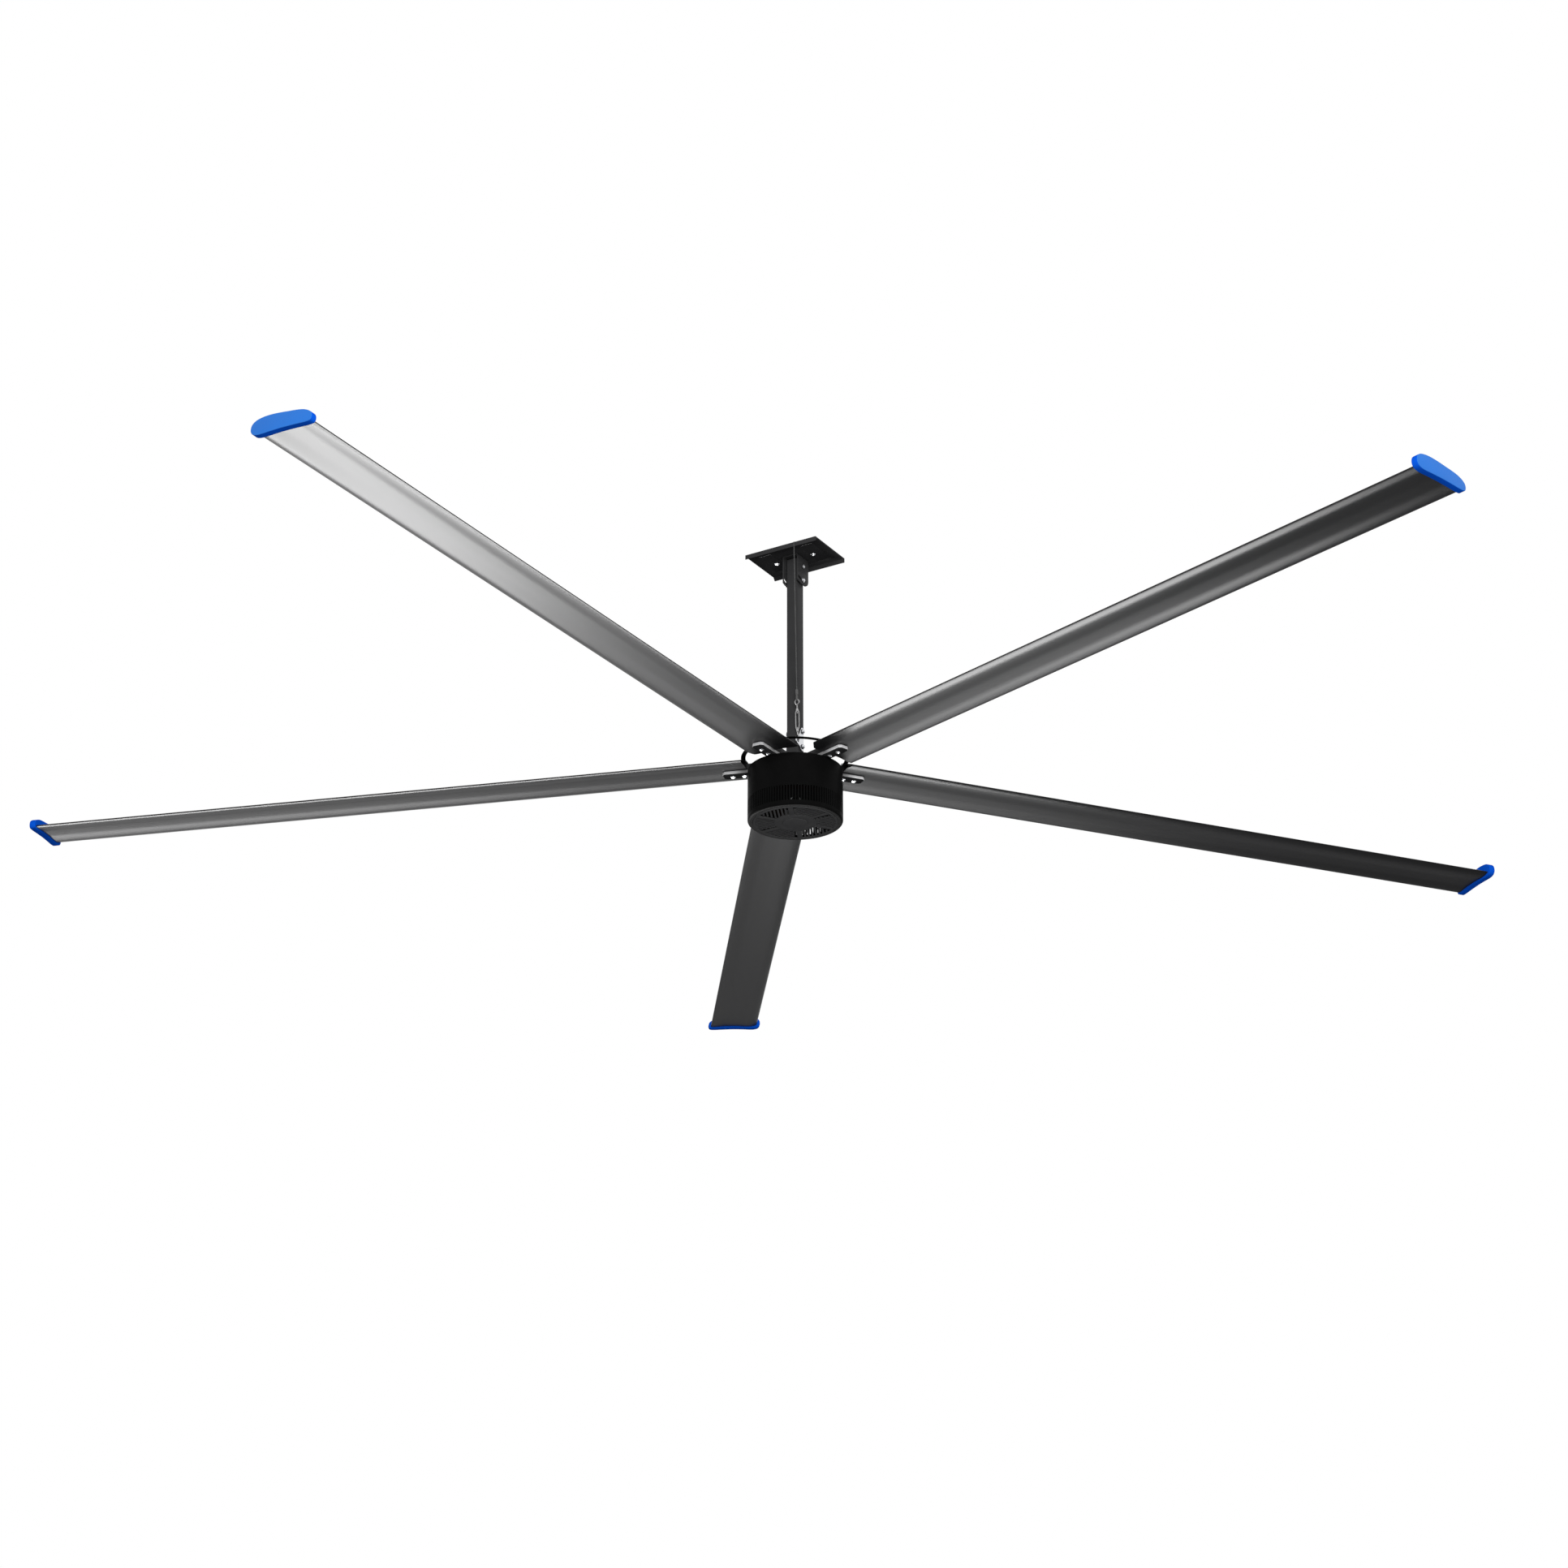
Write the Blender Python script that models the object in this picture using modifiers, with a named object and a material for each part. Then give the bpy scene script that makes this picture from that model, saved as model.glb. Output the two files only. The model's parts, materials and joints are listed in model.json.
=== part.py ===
"""High volume low speed ceiling fan: five long blades on a direct drive motor under a tilting down tube.

Metres, +Z up. The origin is the middle of the ceiling plate's top face.
The plate's long side runs along X. The tube tilts about X, and its foot swings towards -Y.
"""
from math import atan2, cos, pi, radians, sin, tau

import bmesh
import bpy
from mathutils import Matrix, Vector

# Main sizes
BLADE_COUNT = 5
BLADE_START_ANGLE = radians(54)
BLADE_PLANE_DROP = 0.714
BLADE_ROOT_RADIUS = 0.147
BLADE_END_RADIUS = 2.440
BLADE_CHORD = 0.1701
HOUSING_RADIUS = 0.1443
TUBE_WIDTH = 0.0381
TILT_RANGE = radians(28)
FIT_GAP = 0.0003

# Ceiling plate and its slots
PLATE_LENGTH = 0.254
PLATE_WIDTH = 0.1778
PLATE_THICKNESS = 0.0048
PLATE_LIP_HEIGHT = 0.0145
LIP_FOOT_WIDTH = 0.0015
LIP_ROOT_WIDTH = 0.0095
MOUNT_SLOT_PITCH_X = 0.150
MOUNT_SLOT_PITCH_Y = 0.114
MOUNT_SLOT_LENGTH = 0.051
MOUNT_SLOT_WIDTH = 0.009
PLATE_BOLT_PITCH = 0.130

# Swivel bracket under the plate
BRACKET_THICKNESS = 0.004
EAR_INNER_WIDTH = 0.0472
EAR_BEND_RADIUS = 0.006
EAR_LOW_SIDE_Y = -0.0285
EAR_HIGH_SIDE_Y = 0.035
EAR_LOBE_RADIUS = 0.022
PIVOT_DROP = 0.0405
CLAMP_RADIUS = 0.048
EAR_EDGE_RADIUS = 0.0615

# Down tube and the hardware at its foot
TUBE_WALL = 0.003
TUBE_CORNER_RADIUS = 0.0023
TUBE_TOP_DROP = 0.0155
TUBE_FOOT_HEIGHT = 0.030
UPPER_BOLT_HEIGHT = 0.112
LOWER_BOLT_HEIGHT = 0.062
FOOT_PLATE_HEIGHT = 0.085
FOOT_PLATE_WIDTH = 0.030
FOOT_PLATE_THICKNESS = 0.0033
LUG_STANDOFF = 0.0035
LUG_THICKNESS = 0.003
LUG_WIDTH = 0.015
LUG_TOP_HEIGHT = 0.125
LUG_FOOT_HEIGHT = 0.048
LUG_EYE_Y = -0.025
LUG_EYE_HEIGHT = 0.074
LUG_EYE_RADIUS = 0.0105
LUG_EYE_START = radians(80)
LUG_EYE_END = radians(262)
LUG_HOLE_RADIUS = 0.006

# Bolts
BOLT_RADIUS = 0.004
BOLT_FLATS = 0.013
BOLT_HEAD_HEIGHT = 0.008
BOLT_STUB_SHARE = 0.333
COLLAR_RADIUS = 0.008

# Motor housing, its slots and its grille
HOUSING_FOOT_DROP = 0.182
HOUSING_WALL = 0.006
BEAD_RADIUS = 0.0075
BEAD_INNER_RADIUS = 0.1292
LEDGE_RADIUS = 0.1225
LEDGE_THICKNESS = 0.003
SIDE_SLOT_COUNT = 104
SIDE_SLOT_WIDTH = 0.0042
SIDE_SLOT_TOP_DROP = 0.116
SIDE_SLOT_FOOT_DROP = 0.166
GRILLE_RADIUS = 0.1285
GRILLE_FACE_DROP = 0.1835
GRILLE_THICKNESS = 0.004
GRILLE_SECTORS = 6
GRILLE_SLOT_WIDTH = 0.006
GRILLE_SLOT_PITCH = 0.0114
GRILLE_FIRST_OFFSET = 0.0145
GRILLE_SPOKE_ANGLE = radians(-64.4)
GRILLE_NEXT_ANGLE = radians(54)
GRILLE_NEXT_OFFSET = 0.0034
GRILLE_SLOTS_INNER_RADIUS = 0.062
GRILLE_SLOTS_OUTER_RADIUS = 0.121
CENTRE_CAP_RADIUS = 0.038
CENTRE_CAP_THICKNESS = 0.0015

# Hub plate, hub arms, blade brackets and retention ring
HUB_PLATE_RADIUS = 0.144
HUB_PLATE_THICKNESS = 0.007
HUB_BOSS_RADIUS = 0.044
HUB_BOSS_FOOT_DROP = 0.034
HUB_OPENING_RADIUS = 0.024
STUD_RADIUS_POSITION = 0.112
HOLDER_WIDTH = 0.0381
BAR_THICKNESS = 0.0095
BAR_INNER_RADIUS = 0.060
BAR_OUTER_RADIUS = 0.224
BAR_CORNER_CHAMFER = 0.007
ARM_INNER_RADIUS = 0.077
ARM_OUTER_RADIUS = 0.212
ARM_TOP_HEIGHT = 0.0178
INNER_BOLT_RADIUS_POSITION = 0.158
OUTER_BOLT_RADIUS_POSITION = 0.194
RING_INNER_RADIUS = 0.151
RING_OUTER_RADIUS = 0.165
RING_THICKNESS = 0.002

# Blade section as shares of the chord: along it from the middle of the bolts, and up
BLADE_UNDER_SHARES = ((-0.427, 0.040), (-0.364, 0.009), (-0.265, -0.009), (0.0, -0.006), (0.294, -0.018),
                      (0.573, -0.040))
BLADE_TOP_SHARES = ((-0.427, 0.040), (-0.176, 0.129), (-0.029, 0.160), (0.059, 0.162), (0.206, 0.126),
                    (0.353, 0.073), (0.573, -0.021))
BLADE_WALL = 0.0023
WEB_THICKNESS = 0.003
FRONT_CELL_NOSE_SHARE = -0.341
REAR_CELL_TAIL_SHARE = 0.470
BLADE_CORNER_CHAMFER = 0.018

# End cap outline as shares of the chord
CAP_OUTLINE_SHARES = ((0.600, -0.065), (0.529, -0.076), (0.353, -0.065), (0.059, -0.047), (-0.176, -0.044),
                      (-0.364, -0.041), (-0.459, -0.012), (-0.494, 0.035), (-0.500, 0.082), (-0.482, 0.147),
                      (-0.400, 0.206), (-0.200, 0.232), (0.000, 0.218), (0.176, 0.194), (0.370, 0.165),
                      (0.500, 0.129), (0.606, 0.059), (0.623, -0.012))
CAP_THICKNESS = 0.019
CAP_EDGE_ROUNDING = 0.0045
PLUG_LENGTH = 0.016
PLUG_FIT = 0.002
CAP_BEVEL_ANGLE = radians(60)

# Motor inside
SHAFT_COLLAR_RADIUS = 0.028
SHAFT_COLLAR_THICKNESS = 0.008
SHAFT_SPIGOT_HEIGHT = 0.125
SHAFT_RADIUS = 0.0172
SHAFT_LOWER_RADIUS = 0.0122
SHAFT_FOOT_DROP = 0.172
UPPER_BEARING_RADIUS = 0.036
UPPER_BEARING_WIDTH = 0.017
LOWER_BEARING_RADIUS = 0.026
LOWER_BEARING_WIDTH = 0.015
LOWER_BEARING_TOP_DROP = 0.150
GRILLE_BOSS_RADIUS = 0.034
SHAFT_NUT_FLATS = 0.030
SHAFT_NUT_HEIGHT = 0.008
NUT_ROOM_RADIUS = 0.0237
MAGNET_TOP_DROP = 0.028
MAGNET_THICKNESS = 0.008
AIR_GAP = 0.0012
STATOR_TOP_DROP = 0.044
STATOR_FOOT_DROP = 0.104
STATOR_SLOTS = 12
STATOR_SLOT_WIDTH = 0.018
STATOR_SLOT_DEPTH = 0.036
WINDING_HEIGHT = 0.008
WINDING_INSET = 0.004

# Safety cable and its turnbuckle, measured up the cable from the hook's seat
CABLE_RADIUS = 0.0015
CABLE_TOP_X = 0.0516
FERRULE_FOOT_HEIGHT = 0.1427
FERRULE_LENGTH = 0.016
FERRULE_RADIUS = 0.0038
EYE_HEIGHT = 0.1192
EYE_RADIUS = 0.0073
EYE_WIRE_RADIUS = 0.0016
FRAME_FOOT_HEIGHT = 0.0237
FRAME_LENGTH = 0.074
FRAME_WIDTH = 0.0145
FRAME_WIRE_RADIUS = 0.0016
FRAME_BOSS_RADIUS = 0.0042
FRAME_BOSS_LENGTH = 0.009
FRAME_SHOULDER_LENGTH = 0.014
SHANK_RADIUS = 0.002
SHANK_REACH = 0.006
HOOK_RADIUS = 0.0065
HOOK_SEAT_GAP = 0.0006
HOOK_NECK_ANGLE = radians(20)
HOOK_TIP_ANGLE = radians(-215)

# Facets round a turn, and what is shaded smooth
SMOOTH_ANGLE = radians(30)
FINE_SIDES = 48
ROD_SIDES = 16
BOLT_SIDES = 8
INNER_SIDES = 24
MERGE_SHARE = 0.001
MERGE_DISTANCE = FIT_GAP * MERGE_SHARE
WIRE_RESOLUTION = 2
SLOT_END_STEPS = 4
ARC_STEPS = 7


def section_height(shares, along):
    """Height of one side of the blade at a distance along its chord."""
    places = [(x * BLADE_CHORD, z * BLADE_CHORD) for x, z in shares]
    for (x0, z0), (x1, z1) in zip(places, places[1:]):
        if x0 <= along <= x1:
            return z0 + (z1 - z0) * (along - x0) / (x1 - x0)
    return places[-1][1]


# What follows from the sizes above. Heights are measured from the middle of the blades, except those in Z.
BOLT_HOLE_RADIUS = (BOLT_RADIUS + FIT_GAP) / cos(pi / BOLT_SIDES)
PLANE_Z = -BLADE_PLANE_DROP
PIVOT_Z = -PIVOT_DROP
EAR_TOP_Z = -PLATE_THICKNESS - FIT_GAP
HOLDER_HALF = HOLDER_WIDTH / 2
BAR_TOP = min(section_height(BLADE_UNDER_SHARES, side * HOLDER_HALF) for side in (-1, 1)) - FIT_GAP
BAR_FOOT = BAR_TOP - BAR_THICKNESS
HUB_TOP = BAR_FOOT - FIT_GAP
HUB_FOOT = HUB_TOP - HUB_PLATE_THICKNESS
HOUSING_TOP = HUB_FOOT - FIT_GAP
GRILLE_FOOT = -GRILLE_FACE_DROP
GRILLE_TOP = GRILLE_FOOT + GRILLE_THICKNESS
LEDGE_FOOT = GRILLE_TOP + FIT_GAP
BLADE_TOP = max(up for along, up in BLADE_TOP_SHARES) * BLADE_CHORD
UPPER_BEARING_TOP = -HUB_BOSS_FOOT_DROP + UPPER_BEARING_WIDTH
LOWER_BEARING_FOOT = -LOWER_BEARING_TOP_DROP - LOWER_BEARING_WIDTH
HOUSING_INNER_RADIUS = HOUSING_RADIUS - HOUSING_WALL
MAGNET_OUTER_RADIUS = HOUSING_INNER_RADIUS - FIT_GAP
STATOR_RADIUS = MAGNET_OUTER_RADIUS - MAGNET_THICKNESS - AIR_GAP
LUG_X = TUBE_WIDTH / 2 + LUG_STANDOFF + LUG_THICKNESS / 2

# The cable hangs clear of the plate's near lip and runs to the seat of its hook in the lug's eye
HOOK_SEAT_Z = PLANE_Z + LUG_EYE_HEIGHT + LUG_HOLE_RADIUS - SHANK_RADIUS - HOOK_SEAT_GAP
HOOK_POINT = Vector((LUG_X, LUG_EYE_Y, HOOK_SEAT_Z))
LIP_CLEARANCE_Y = -PLATE_WIDTH / 2 - CABLE_RADIUS - FIT_GAP
LIP_SHARE = PLATE_LIP_HEIGHT / -HOOK_POINT.z
CABLE_TOP = Vector((CABLE_TOP_X, (LIP_CLEARANCE_Y - LIP_SHARE * LUG_EYE_Y) / (1 - LIP_SHARE), 0.0))
CABLE_LENGTH = (HOOK_POINT - CABLE_TOP).length
FRAME_TOP_HEIGHT = FRAME_FOOT_HEIGHT + FRAME_LENGTH

for stale in list(bpy.data.objects):
    bpy.data.objects.remove(stale, do_unlink=True)

parts_collection = bpy.data.collections.new("hvls_ceiling_fan")
shaping_collection = bpy.data.collections.new("shaping_tools")
bpy.context.scene.collection.children.link(parts_collection)
bpy.context.scene.collection.children.link(shaping_collection)


def material(name, colour, metallic, roughness):
    made = bpy.data.materials.new(name)
    made.use_nodes = True
    shader = made.node_tree.nodes["Principled BSDF"]
    shader.inputs["Base Color"].default_value = (*colour, 1.0)
    shader.inputs["Metallic"].default_value = metallic
    shader.inputs["Roughness"].default_value = roughness
    return made


CHARCOAL = material("charcoal powder coat", (0.035, 0.036, 0.038), 0.3, 0.45)
BLACK = material("black housing paint", (0.010, 0.010, 0.011), 0.2, 0.38)
BLADE_GREY = material("anodised blade grey", (0.055, 0.056, 0.058), 0.85, 0.34)
BLUE = material("blue moulded plastic", (0.010, 0.110, 0.620), 0.0, 0.35)
ZINC = material("bright zinc", (0.62, 0.63, 0.65), 1.0, 0.28)
STEEL = material("machined steel", (0.50, 0.50, 0.51), 1.0, 0.30)
IRON = material("laminated iron", (0.20, 0.20, 0.21), 0.8, 0.50)
COPPER = material("enamelled copper", (0.55, 0.22, 0.08), 0.9, 0.40)
MAGNET = material("plated magnets", (0.30, 0.30, 0.31), 0.9, 0.40)


# Shapes, each made as an object in the shaping collection

def tool(data, matrix=Matrix.Identity(4)):
    made = bpy.data.objects.new("shape", data)
    shaping_collection.objects.link(made)
    made.matrix_world = matrix
    made.hide_render = True
    made.display_type = "WIRE"
    return made


def from_bmesh(shape):
    mesh = bpy.data.meshes.new("shape")
    shape.to_mesh(mesh)
    shape.free()
    return mesh


def box(low, high, matrix=Matrix.Identity(4)):
    shape = bmesh.new()
    bmesh.ops.create_cube(shape, size=1.0)
    low, high = Vector(low), Vector(high)
    size = Matrix.Diagonal((*(high - low), 1.0))
    bmesh.ops.transform(shape, matrix=Matrix.Translation((low + high) / 2) @ size, verts=shape.verts)
    return tool(from_bmesh(shape), matrix)


def cylinder(radius, low, high, sides=BOLT_SIDES, centre=(0.0, 0.0), matrix=Matrix.Identity(4)):
    shape = bmesh.new()
    depth = high - low
    bmesh.ops.create_cone(shape, cap_ends=True, segments=sides, radius1=radius, radius2=radius, depth=depth)
    bmesh.ops.translate(shape, vec=(*centre, (low + high) / 2), verts=shape.verts)
    return tool(from_bmesh(shape), matrix)


def hexagon(flats, low, high, matrix=Matrix.Identity(4)):
    return cylinder(flats / 2 / cos(pi / 6), low, high, sides=6, matrix=matrix)


def evaluated_mesh(made):
    bpy.context.view_layer.update()
    mesh = bpy.data.meshes.new_from_object(made.evaluated_get(bpy.context.evaluated_depsgraph_get()))
    shape = bmesh.new()
    shape.from_mesh(mesh)
    bmesh.ops.remove_doubles(shape, verts=shape.verts, dist=MERGE_DISTANCE)
    shape.to_mesh(mesh)
    shape.free()
    mesh.transform(made.matrix_world)
    bpy.data.objects.remove(made, do_unlink=True)
    return mesh


def curve(outlines, cyclic=True, flat=True):
    made = bpy.data.curves.new("shape", "CURVE")
    made.dimensions = "2D" if flat else "3D"
    for outline in outlines:
        spline = made.splines.new("POLY")
        spline.points.add(len(outline) - 1)
        for point, place in zip(spline.points, outline):
            point.co = (*place, 0.0, 1.0) if flat else (*place, 1.0)
        spline.use_cyclic_u = cyclic
    return made


def prism(outlines, low, high, matrix=Matrix.Identity(4)):
    made = curve(outlines)
    made.fill_mode = "BOTH"
    made.extrude = (high - low) / 2
    flat = tool(made, matrix @ Matrix.Translation((0.0, 0.0, (low + high) / 2)))
    return tool(evaluated_mesh(flat))


def wire(points, radius, cyclic=False, matrix=Matrix.Identity(4)):
    made = curve([points], cyclic, flat=False)
    made.bevel_depth = radius
    made.bevel_resolution = WIRE_RESOLUTION
    made.use_fill_caps = True
    return tool(evaluated_mesh(tool(made, matrix)))


def turned(profile, steps=FINE_SIDES, closed=True):
    """Profile of (radius, height) points, down the outer side first."""
    shape = bmesh.new()
    corners = [shape.verts.new((radius, 0.0, height)) for radius, height in profile]
    pairs = list(zip(corners, corners[1:]))
    if closed:
        pairs.append((corners[-1], corners[0]))
    for pair in pairs:
        shape.edges.new(pair)
    made = tool(from_bmesh(shape))
    screw = made.modifiers.new("turn", "SCREW")
    screw.steps = steps
    screw.render_steps = steps
    screw.use_merge_vertices = True
    screw.merge_threshold = MERGE_DISTANCE
    return tool(evaluated_mesh(made))


def combined(base, joined=(), cut=(), kept=()):
    """The base's mesh after its joins, its cuts and what it is kept inside."""
    steps = [("UNION", joined), ("DIFFERENCE", cut), ("INTERSECT", kept)]
    others = [(operation, other) for operation, group in steps for other in group]
    for operation, other in others:
        boolean = base.modifiers.new(operation, "BOOLEAN")
        boolean.operation = operation
        boolean.object = other
    mesh = evaluated_mesh(base)
    for operation, other in others:
        bpy.data.objects.remove(other, do_unlink=True)
    return mesh


def part(name, mesh, look, parent=None, turn=0.0):
    made = bpy.data.objects.new(name, mesh)
    parts_collection.objects.link(made)
    if not mesh.materials:
        mesh.materials.append(look)
        mesh.shade_smooth()
        mesh.set_sharp_from_angle(angle=SMOOTH_ANGLE)
    made.parent = parent
    made.rotation_euler.z = turn
    return made


def pivot(name, location, parent=None):
    made = bpy.data.objects.new(name, None)
    parts_collection.objects.link(made)
    made.parent = parent
    made.location = location
    return made


def lowered(mesh, parent_height):
    """A mesh drawn in the ceiling frame, moved into the frame of a parent at a given height."""
    mesh.transform(Matrix.Translation((0.0, 0.0, -parent_height)))
    return mesh


# Outlines

def arc(centre, radius, start, end, steps):
    angles = [start + (end - start) * step / steps for step in range(steps + 1)]
    return [(centre[0] + radius * cos(angle), centre[1] + radius * sin(angle)) for angle in angles]


def circle(radius, sides=FINE_SIDES, centre=(0.0, 0.0)):
    return arc(centre, radius, 0.0, tau * (sides - 1) / sides, sides - 1)


def slot(centre, length, width):
    reach = (length - width) / 2
    right = arc((centre[0] + reach, centre[1]), width / 2, -pi / 2, pi / 2, SLOT_END_STEPS)
    left = arc((centre[0] - reach, centre[1]), width / 2, pi / 2, 3 * pi / 2, SLOT_END_STEPS)
    return right + left


def arc_slot(radius, width, start, end):
    """A slot of a given width along an arc about the origin."""
    outer = arc((0.0, 0.0), radius + width / 2, start, end, ARC_STEPS)
    end_cap = arc((radius * cos(end), radius * sin(end)), width / 2, end, end + pi, SLOT_END_STEPS)[1:-1]
    inner = arc((0.0, 0.0), radius - width / 2, end, start, ARC_STEPS)
    start_centre = (radius * cos(start), radius * sin(start))
    start_cap = arc(start_centre, width / 2, start + pi, start + tau, SLOT_END_STEPS)[1:-1]
    return outer + end_cap + inner + start_cap


def rounded_square(half, radius):
    corner = half - radius
    centres = [(corner, -corner), (corner, corner), (-corner, corner), (-corner, -corner)]
    outline = []
    for index, centre in enumerate(centres):
        start = (index - 1) * pi / 2
        outline += arc(centre, radius, start, start + pi / 2, SLOT_END_STEPS)
    return outline


# Flat pieces drawn across the plate, (y, z), stand up with this turn and are thick along X
ACROSS_X = Matrix(((0, 0, 1, 0), (1, 0, 0, 0), (0, 1, 0, 0), (0, 0, 0, 1)))
# Flat pieces drawn (x, z) are thick along Y
ACROSS_Y = Matrix(((1, 0, 0, 0), (0, 0, -1, 0), (0, 1, 0, 0), (0, 0, 0, 1)))


def cross_hole(height):
    """A cutter for a bolt along X through everything at a height."""
    at_height = Matrix.Translation((0.0, 0.0, height)) @ ACROSS_X
    return cylinder(BOLT_HOLE_RADIUS, -PLATE_WIDTH / 2, PLATE_WIDTH / 2, matrix=at_height)


def bolt_mesh(head_seat, nut_seat, collars=()):
    """A bolt along +Z with its head under head_seat and its nut over nut_seat."""
    head_foot = head_seat - BOLT_HEAD_HEIGHT
    nut_top = nut_seat + BOLT_HEAD_HEIGHT
    pieces = [hexagon(BOLT_FLATS, head_foot, head_seat), hexagon(BOLT_FLATS, nut_seat, nut_top)]
    pieces += [cylinder(COLLAR_RADIUS, low, high, sides=ROD_SIDES) for low, high in collars]
    stub = BOLT_HEAD_HEIGHT * BOLT_STUB_SHARE
    shank = cylinder(BOLT_RADIUS, head_foot + BOLT_HEAD_HEIGHT / 2, nut_top + stub)
    return combined(shank, pieces)


# Ceiling plate

def ceiling_plate():
    half_width = PLATE_WIDTH / 2
    foot = half_width - LIP_FOOT_WIDTH
    root = half_width - LIP_ROOT_WIDTH
    section = [(half_width, -PLATE_LIP_HEIGHT), (half_width, 0.0), (-half_width, 0.0),
               (-half_width, -PLATE_LIP_HEIGHT), (-foot, -PLATE_LIP_HEIGHT), (-root, -PLATE_THICKNESS),
               (root, -PLATE_THICKNESS), (foot, -PLATE_LIP_HEIGHT)]
    plate = prism([section], -PLATE_LENGTH / 2, PLATE_LENGTH / 2, ACROSS_X)
    centres = [(x * MOUNT_SLOT_PITCH_X / 2, y * MOUNT_SLOT_PITCH_Y / 2) for x in (-1, 1) for y in (-1, 1)]
    slots = [slot(centre, MOUNT_SLOT_LENGTH, MOUNT_SLOT_WIDTH) for centre in centres]
    holes = [circle(BOLT_HOLE_RADIUS, BOLT_SIDES, (x * PLATE_BOLT_PITCH / 2, 0.0)) for x in (-1, 1)]
    through = [prism([outline], -PLATE_LIP_HEIGHT, PLATE_LIP_HEIGHT) for outline in slots + holes]
    part("ceiling_plate", combined(plate, cut=through), CHARCOAL)


def ceiling_bolts():
    seat = -PLATE_THICKNESS - FIT_GAP
    nut_foot = seat - BOLT_HEAD_HEIGHT
    shank = cylinder(BOLT_RADIUS, nut_foot - BOLT_HEAD_HEIGHT / 2, -FIT_GAP)
    mesh = combined(shank, [hexagon(BOLT_FLATS, nut_foot, seat)])
    for index, side in enumerate((-1, 1), 1):
        made = part(f"ceiling_bolt_{index}", mesh, ZINC)
        made.location.x = side * PLATE_BOLT_PITCH / 2


# Swivel bracket: a sheet bent to a U, whose two ears are cut to one outline

def swivel_bracket():
    inner = EAR_INNER_WIDTH / 2
    outer = inner + BRACKET_THICKNESS
    web_foot = EAR_TOP_Z - BRACKET_THICKNESS
    foot = PIVOT_Z - EAR_EDGE_RADIUS - BRACKET_THICKNESS
    bend = EAR_BEND_RADIUS
    right = arc((outer - bend, EAR_TOP_Z - bend), bend, 0.0, pi / 2, SLOT_END_STEPS)
    left = arc((bend - outer, EAR_TOP_Z - bend), bend, pi / 2, pi, SLOT_END_STEPS)
    sheet = [(outer, foot)] + right + left + [(-outer, foot), (-inner, foot), (-inner, web_foot),
                                              (inner, web_foot), (inner, foot)]
    bent = prism([sheet], -PLATE_WIDTH / 2, PLATE_WIDTH / 2, ACROSS_Y)
    lobe_y = EAR_HIGH_SIDE_Y - EAR_LOBE_RADIUS
    lobe_z = PIVOT_Z - EAR_EDGE_RADIUS + EAR_LOBE_RADIUS
    corner = atan2(-(EAR_EDGE_RADIUS ** 2 - EAR_LOW_SIDE_Y ** 2) ** 0.5, EAR_LOW_SIDE_Y)
    outline = arc((0.0, PIVOT_Z), EAR_EDGE_RADIUS, corner, -pi / 2, ARC_STEPS)
    outline += arc((lobe_y, lobe_z), EAR_LOBE_RADIUS, -pi / 2, 0.0, ARC_STEPS)
    outline += [(EAR_HIGH_SIDE_Y, BRACKET_THICKNESS), (EAR_LOW_SIDE_Y, BRACKET_THICKNESS)]
    ears = prism([outline], -PLATE_WIDTH, PLATE_WIDTH, ACROSS_X)
    width = 2 * (BOLT_HOLE_RADIUS + FIT_GAP)
    path = arc_slot(CLAMP_RADIUS, width, -pi / 2 - TILT_RANGE, -pi / 2)
    path = [(y, z + PIVOT_Z) for y, z in path]
    clamp_slot = prism([path], -PLATE_WIDTH, PLATE_WIDTH, ACROSS_X)
    bracket = tool(combined(bent, kept=[ears]))
    part("swivel_bracket", combined(bracket, cut=[clamp_slot, cross_hole(PIVOT_Z)]), CHARCOAL)


# Down tube and its bolts

def down_tube(parent):
    half = TUBE_WIDTH / 2
    outline = rounded_square(half, TUBE_CORNER_RADIUS)
    hollow = rounded_square(half - TUBE_WALL, TUBE_CORNER_RADIUS / 2)
    tube = prism([outline, hollow], PLANE_Z + TUBE_FOOT_HEIGHT, -TUBE_TOP_DROP)
    heights = (PIVOT_Z, PIVOT_Z - CLAMP_RADIUS, PLANE_Z + UPPER_BOLT_HEIGHT, PLANE_Z + LOWER_BOLT_HEIGHT)
    mesh = combined(tube, cut=[cross_hole(height) for height in heights])
    part("down_tube", lowered(mesh, PIVOT_Z), CHARCOAL, parent)


def swivel_bolts(parent):
    seat = EAR_INNER_WIDTH / 2 + BRACKET_THICKNESS + FIT_GAP
    mesh = bolt_mesh(-seat, seat)
    mesh.transform(ACROSS_X)
    for name, height in (("pivot_bolt", 0.0), ("clamp_bolt", -CLAMP_RADIUS)):
        made = part(name, mesh, ZINC, parent)
        made.location.z = height


def foot_bolts(parent):
    tube_face = TUBE_WIDTH / 2 + FIT_GAP
    head_seat = -tube_face - FOOT_PLATE_THICKNESS - FIT_GAP
    lug_face = LUG_X + LUG_THICKNESS / 2 + FIT_GAP
    collar = (tube_face, LUG_X - LUG_THICKNESS / 2 - FIT_GAP)
    mesh = bolt_mesh(head_seat, lug_face, [collar])
    mesh.transform(ACROSS_X)
    for name, height in (("upper_tube_bolt", UPPER_BOLT_HEIGHT), ("lower_tube_bolt", LOWER_BOLT_HEIGHT)):
        made = part(name, mesh, ZINC, parent)
        made.location.z = PLANE_Z + height - PIVOT_Z


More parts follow.
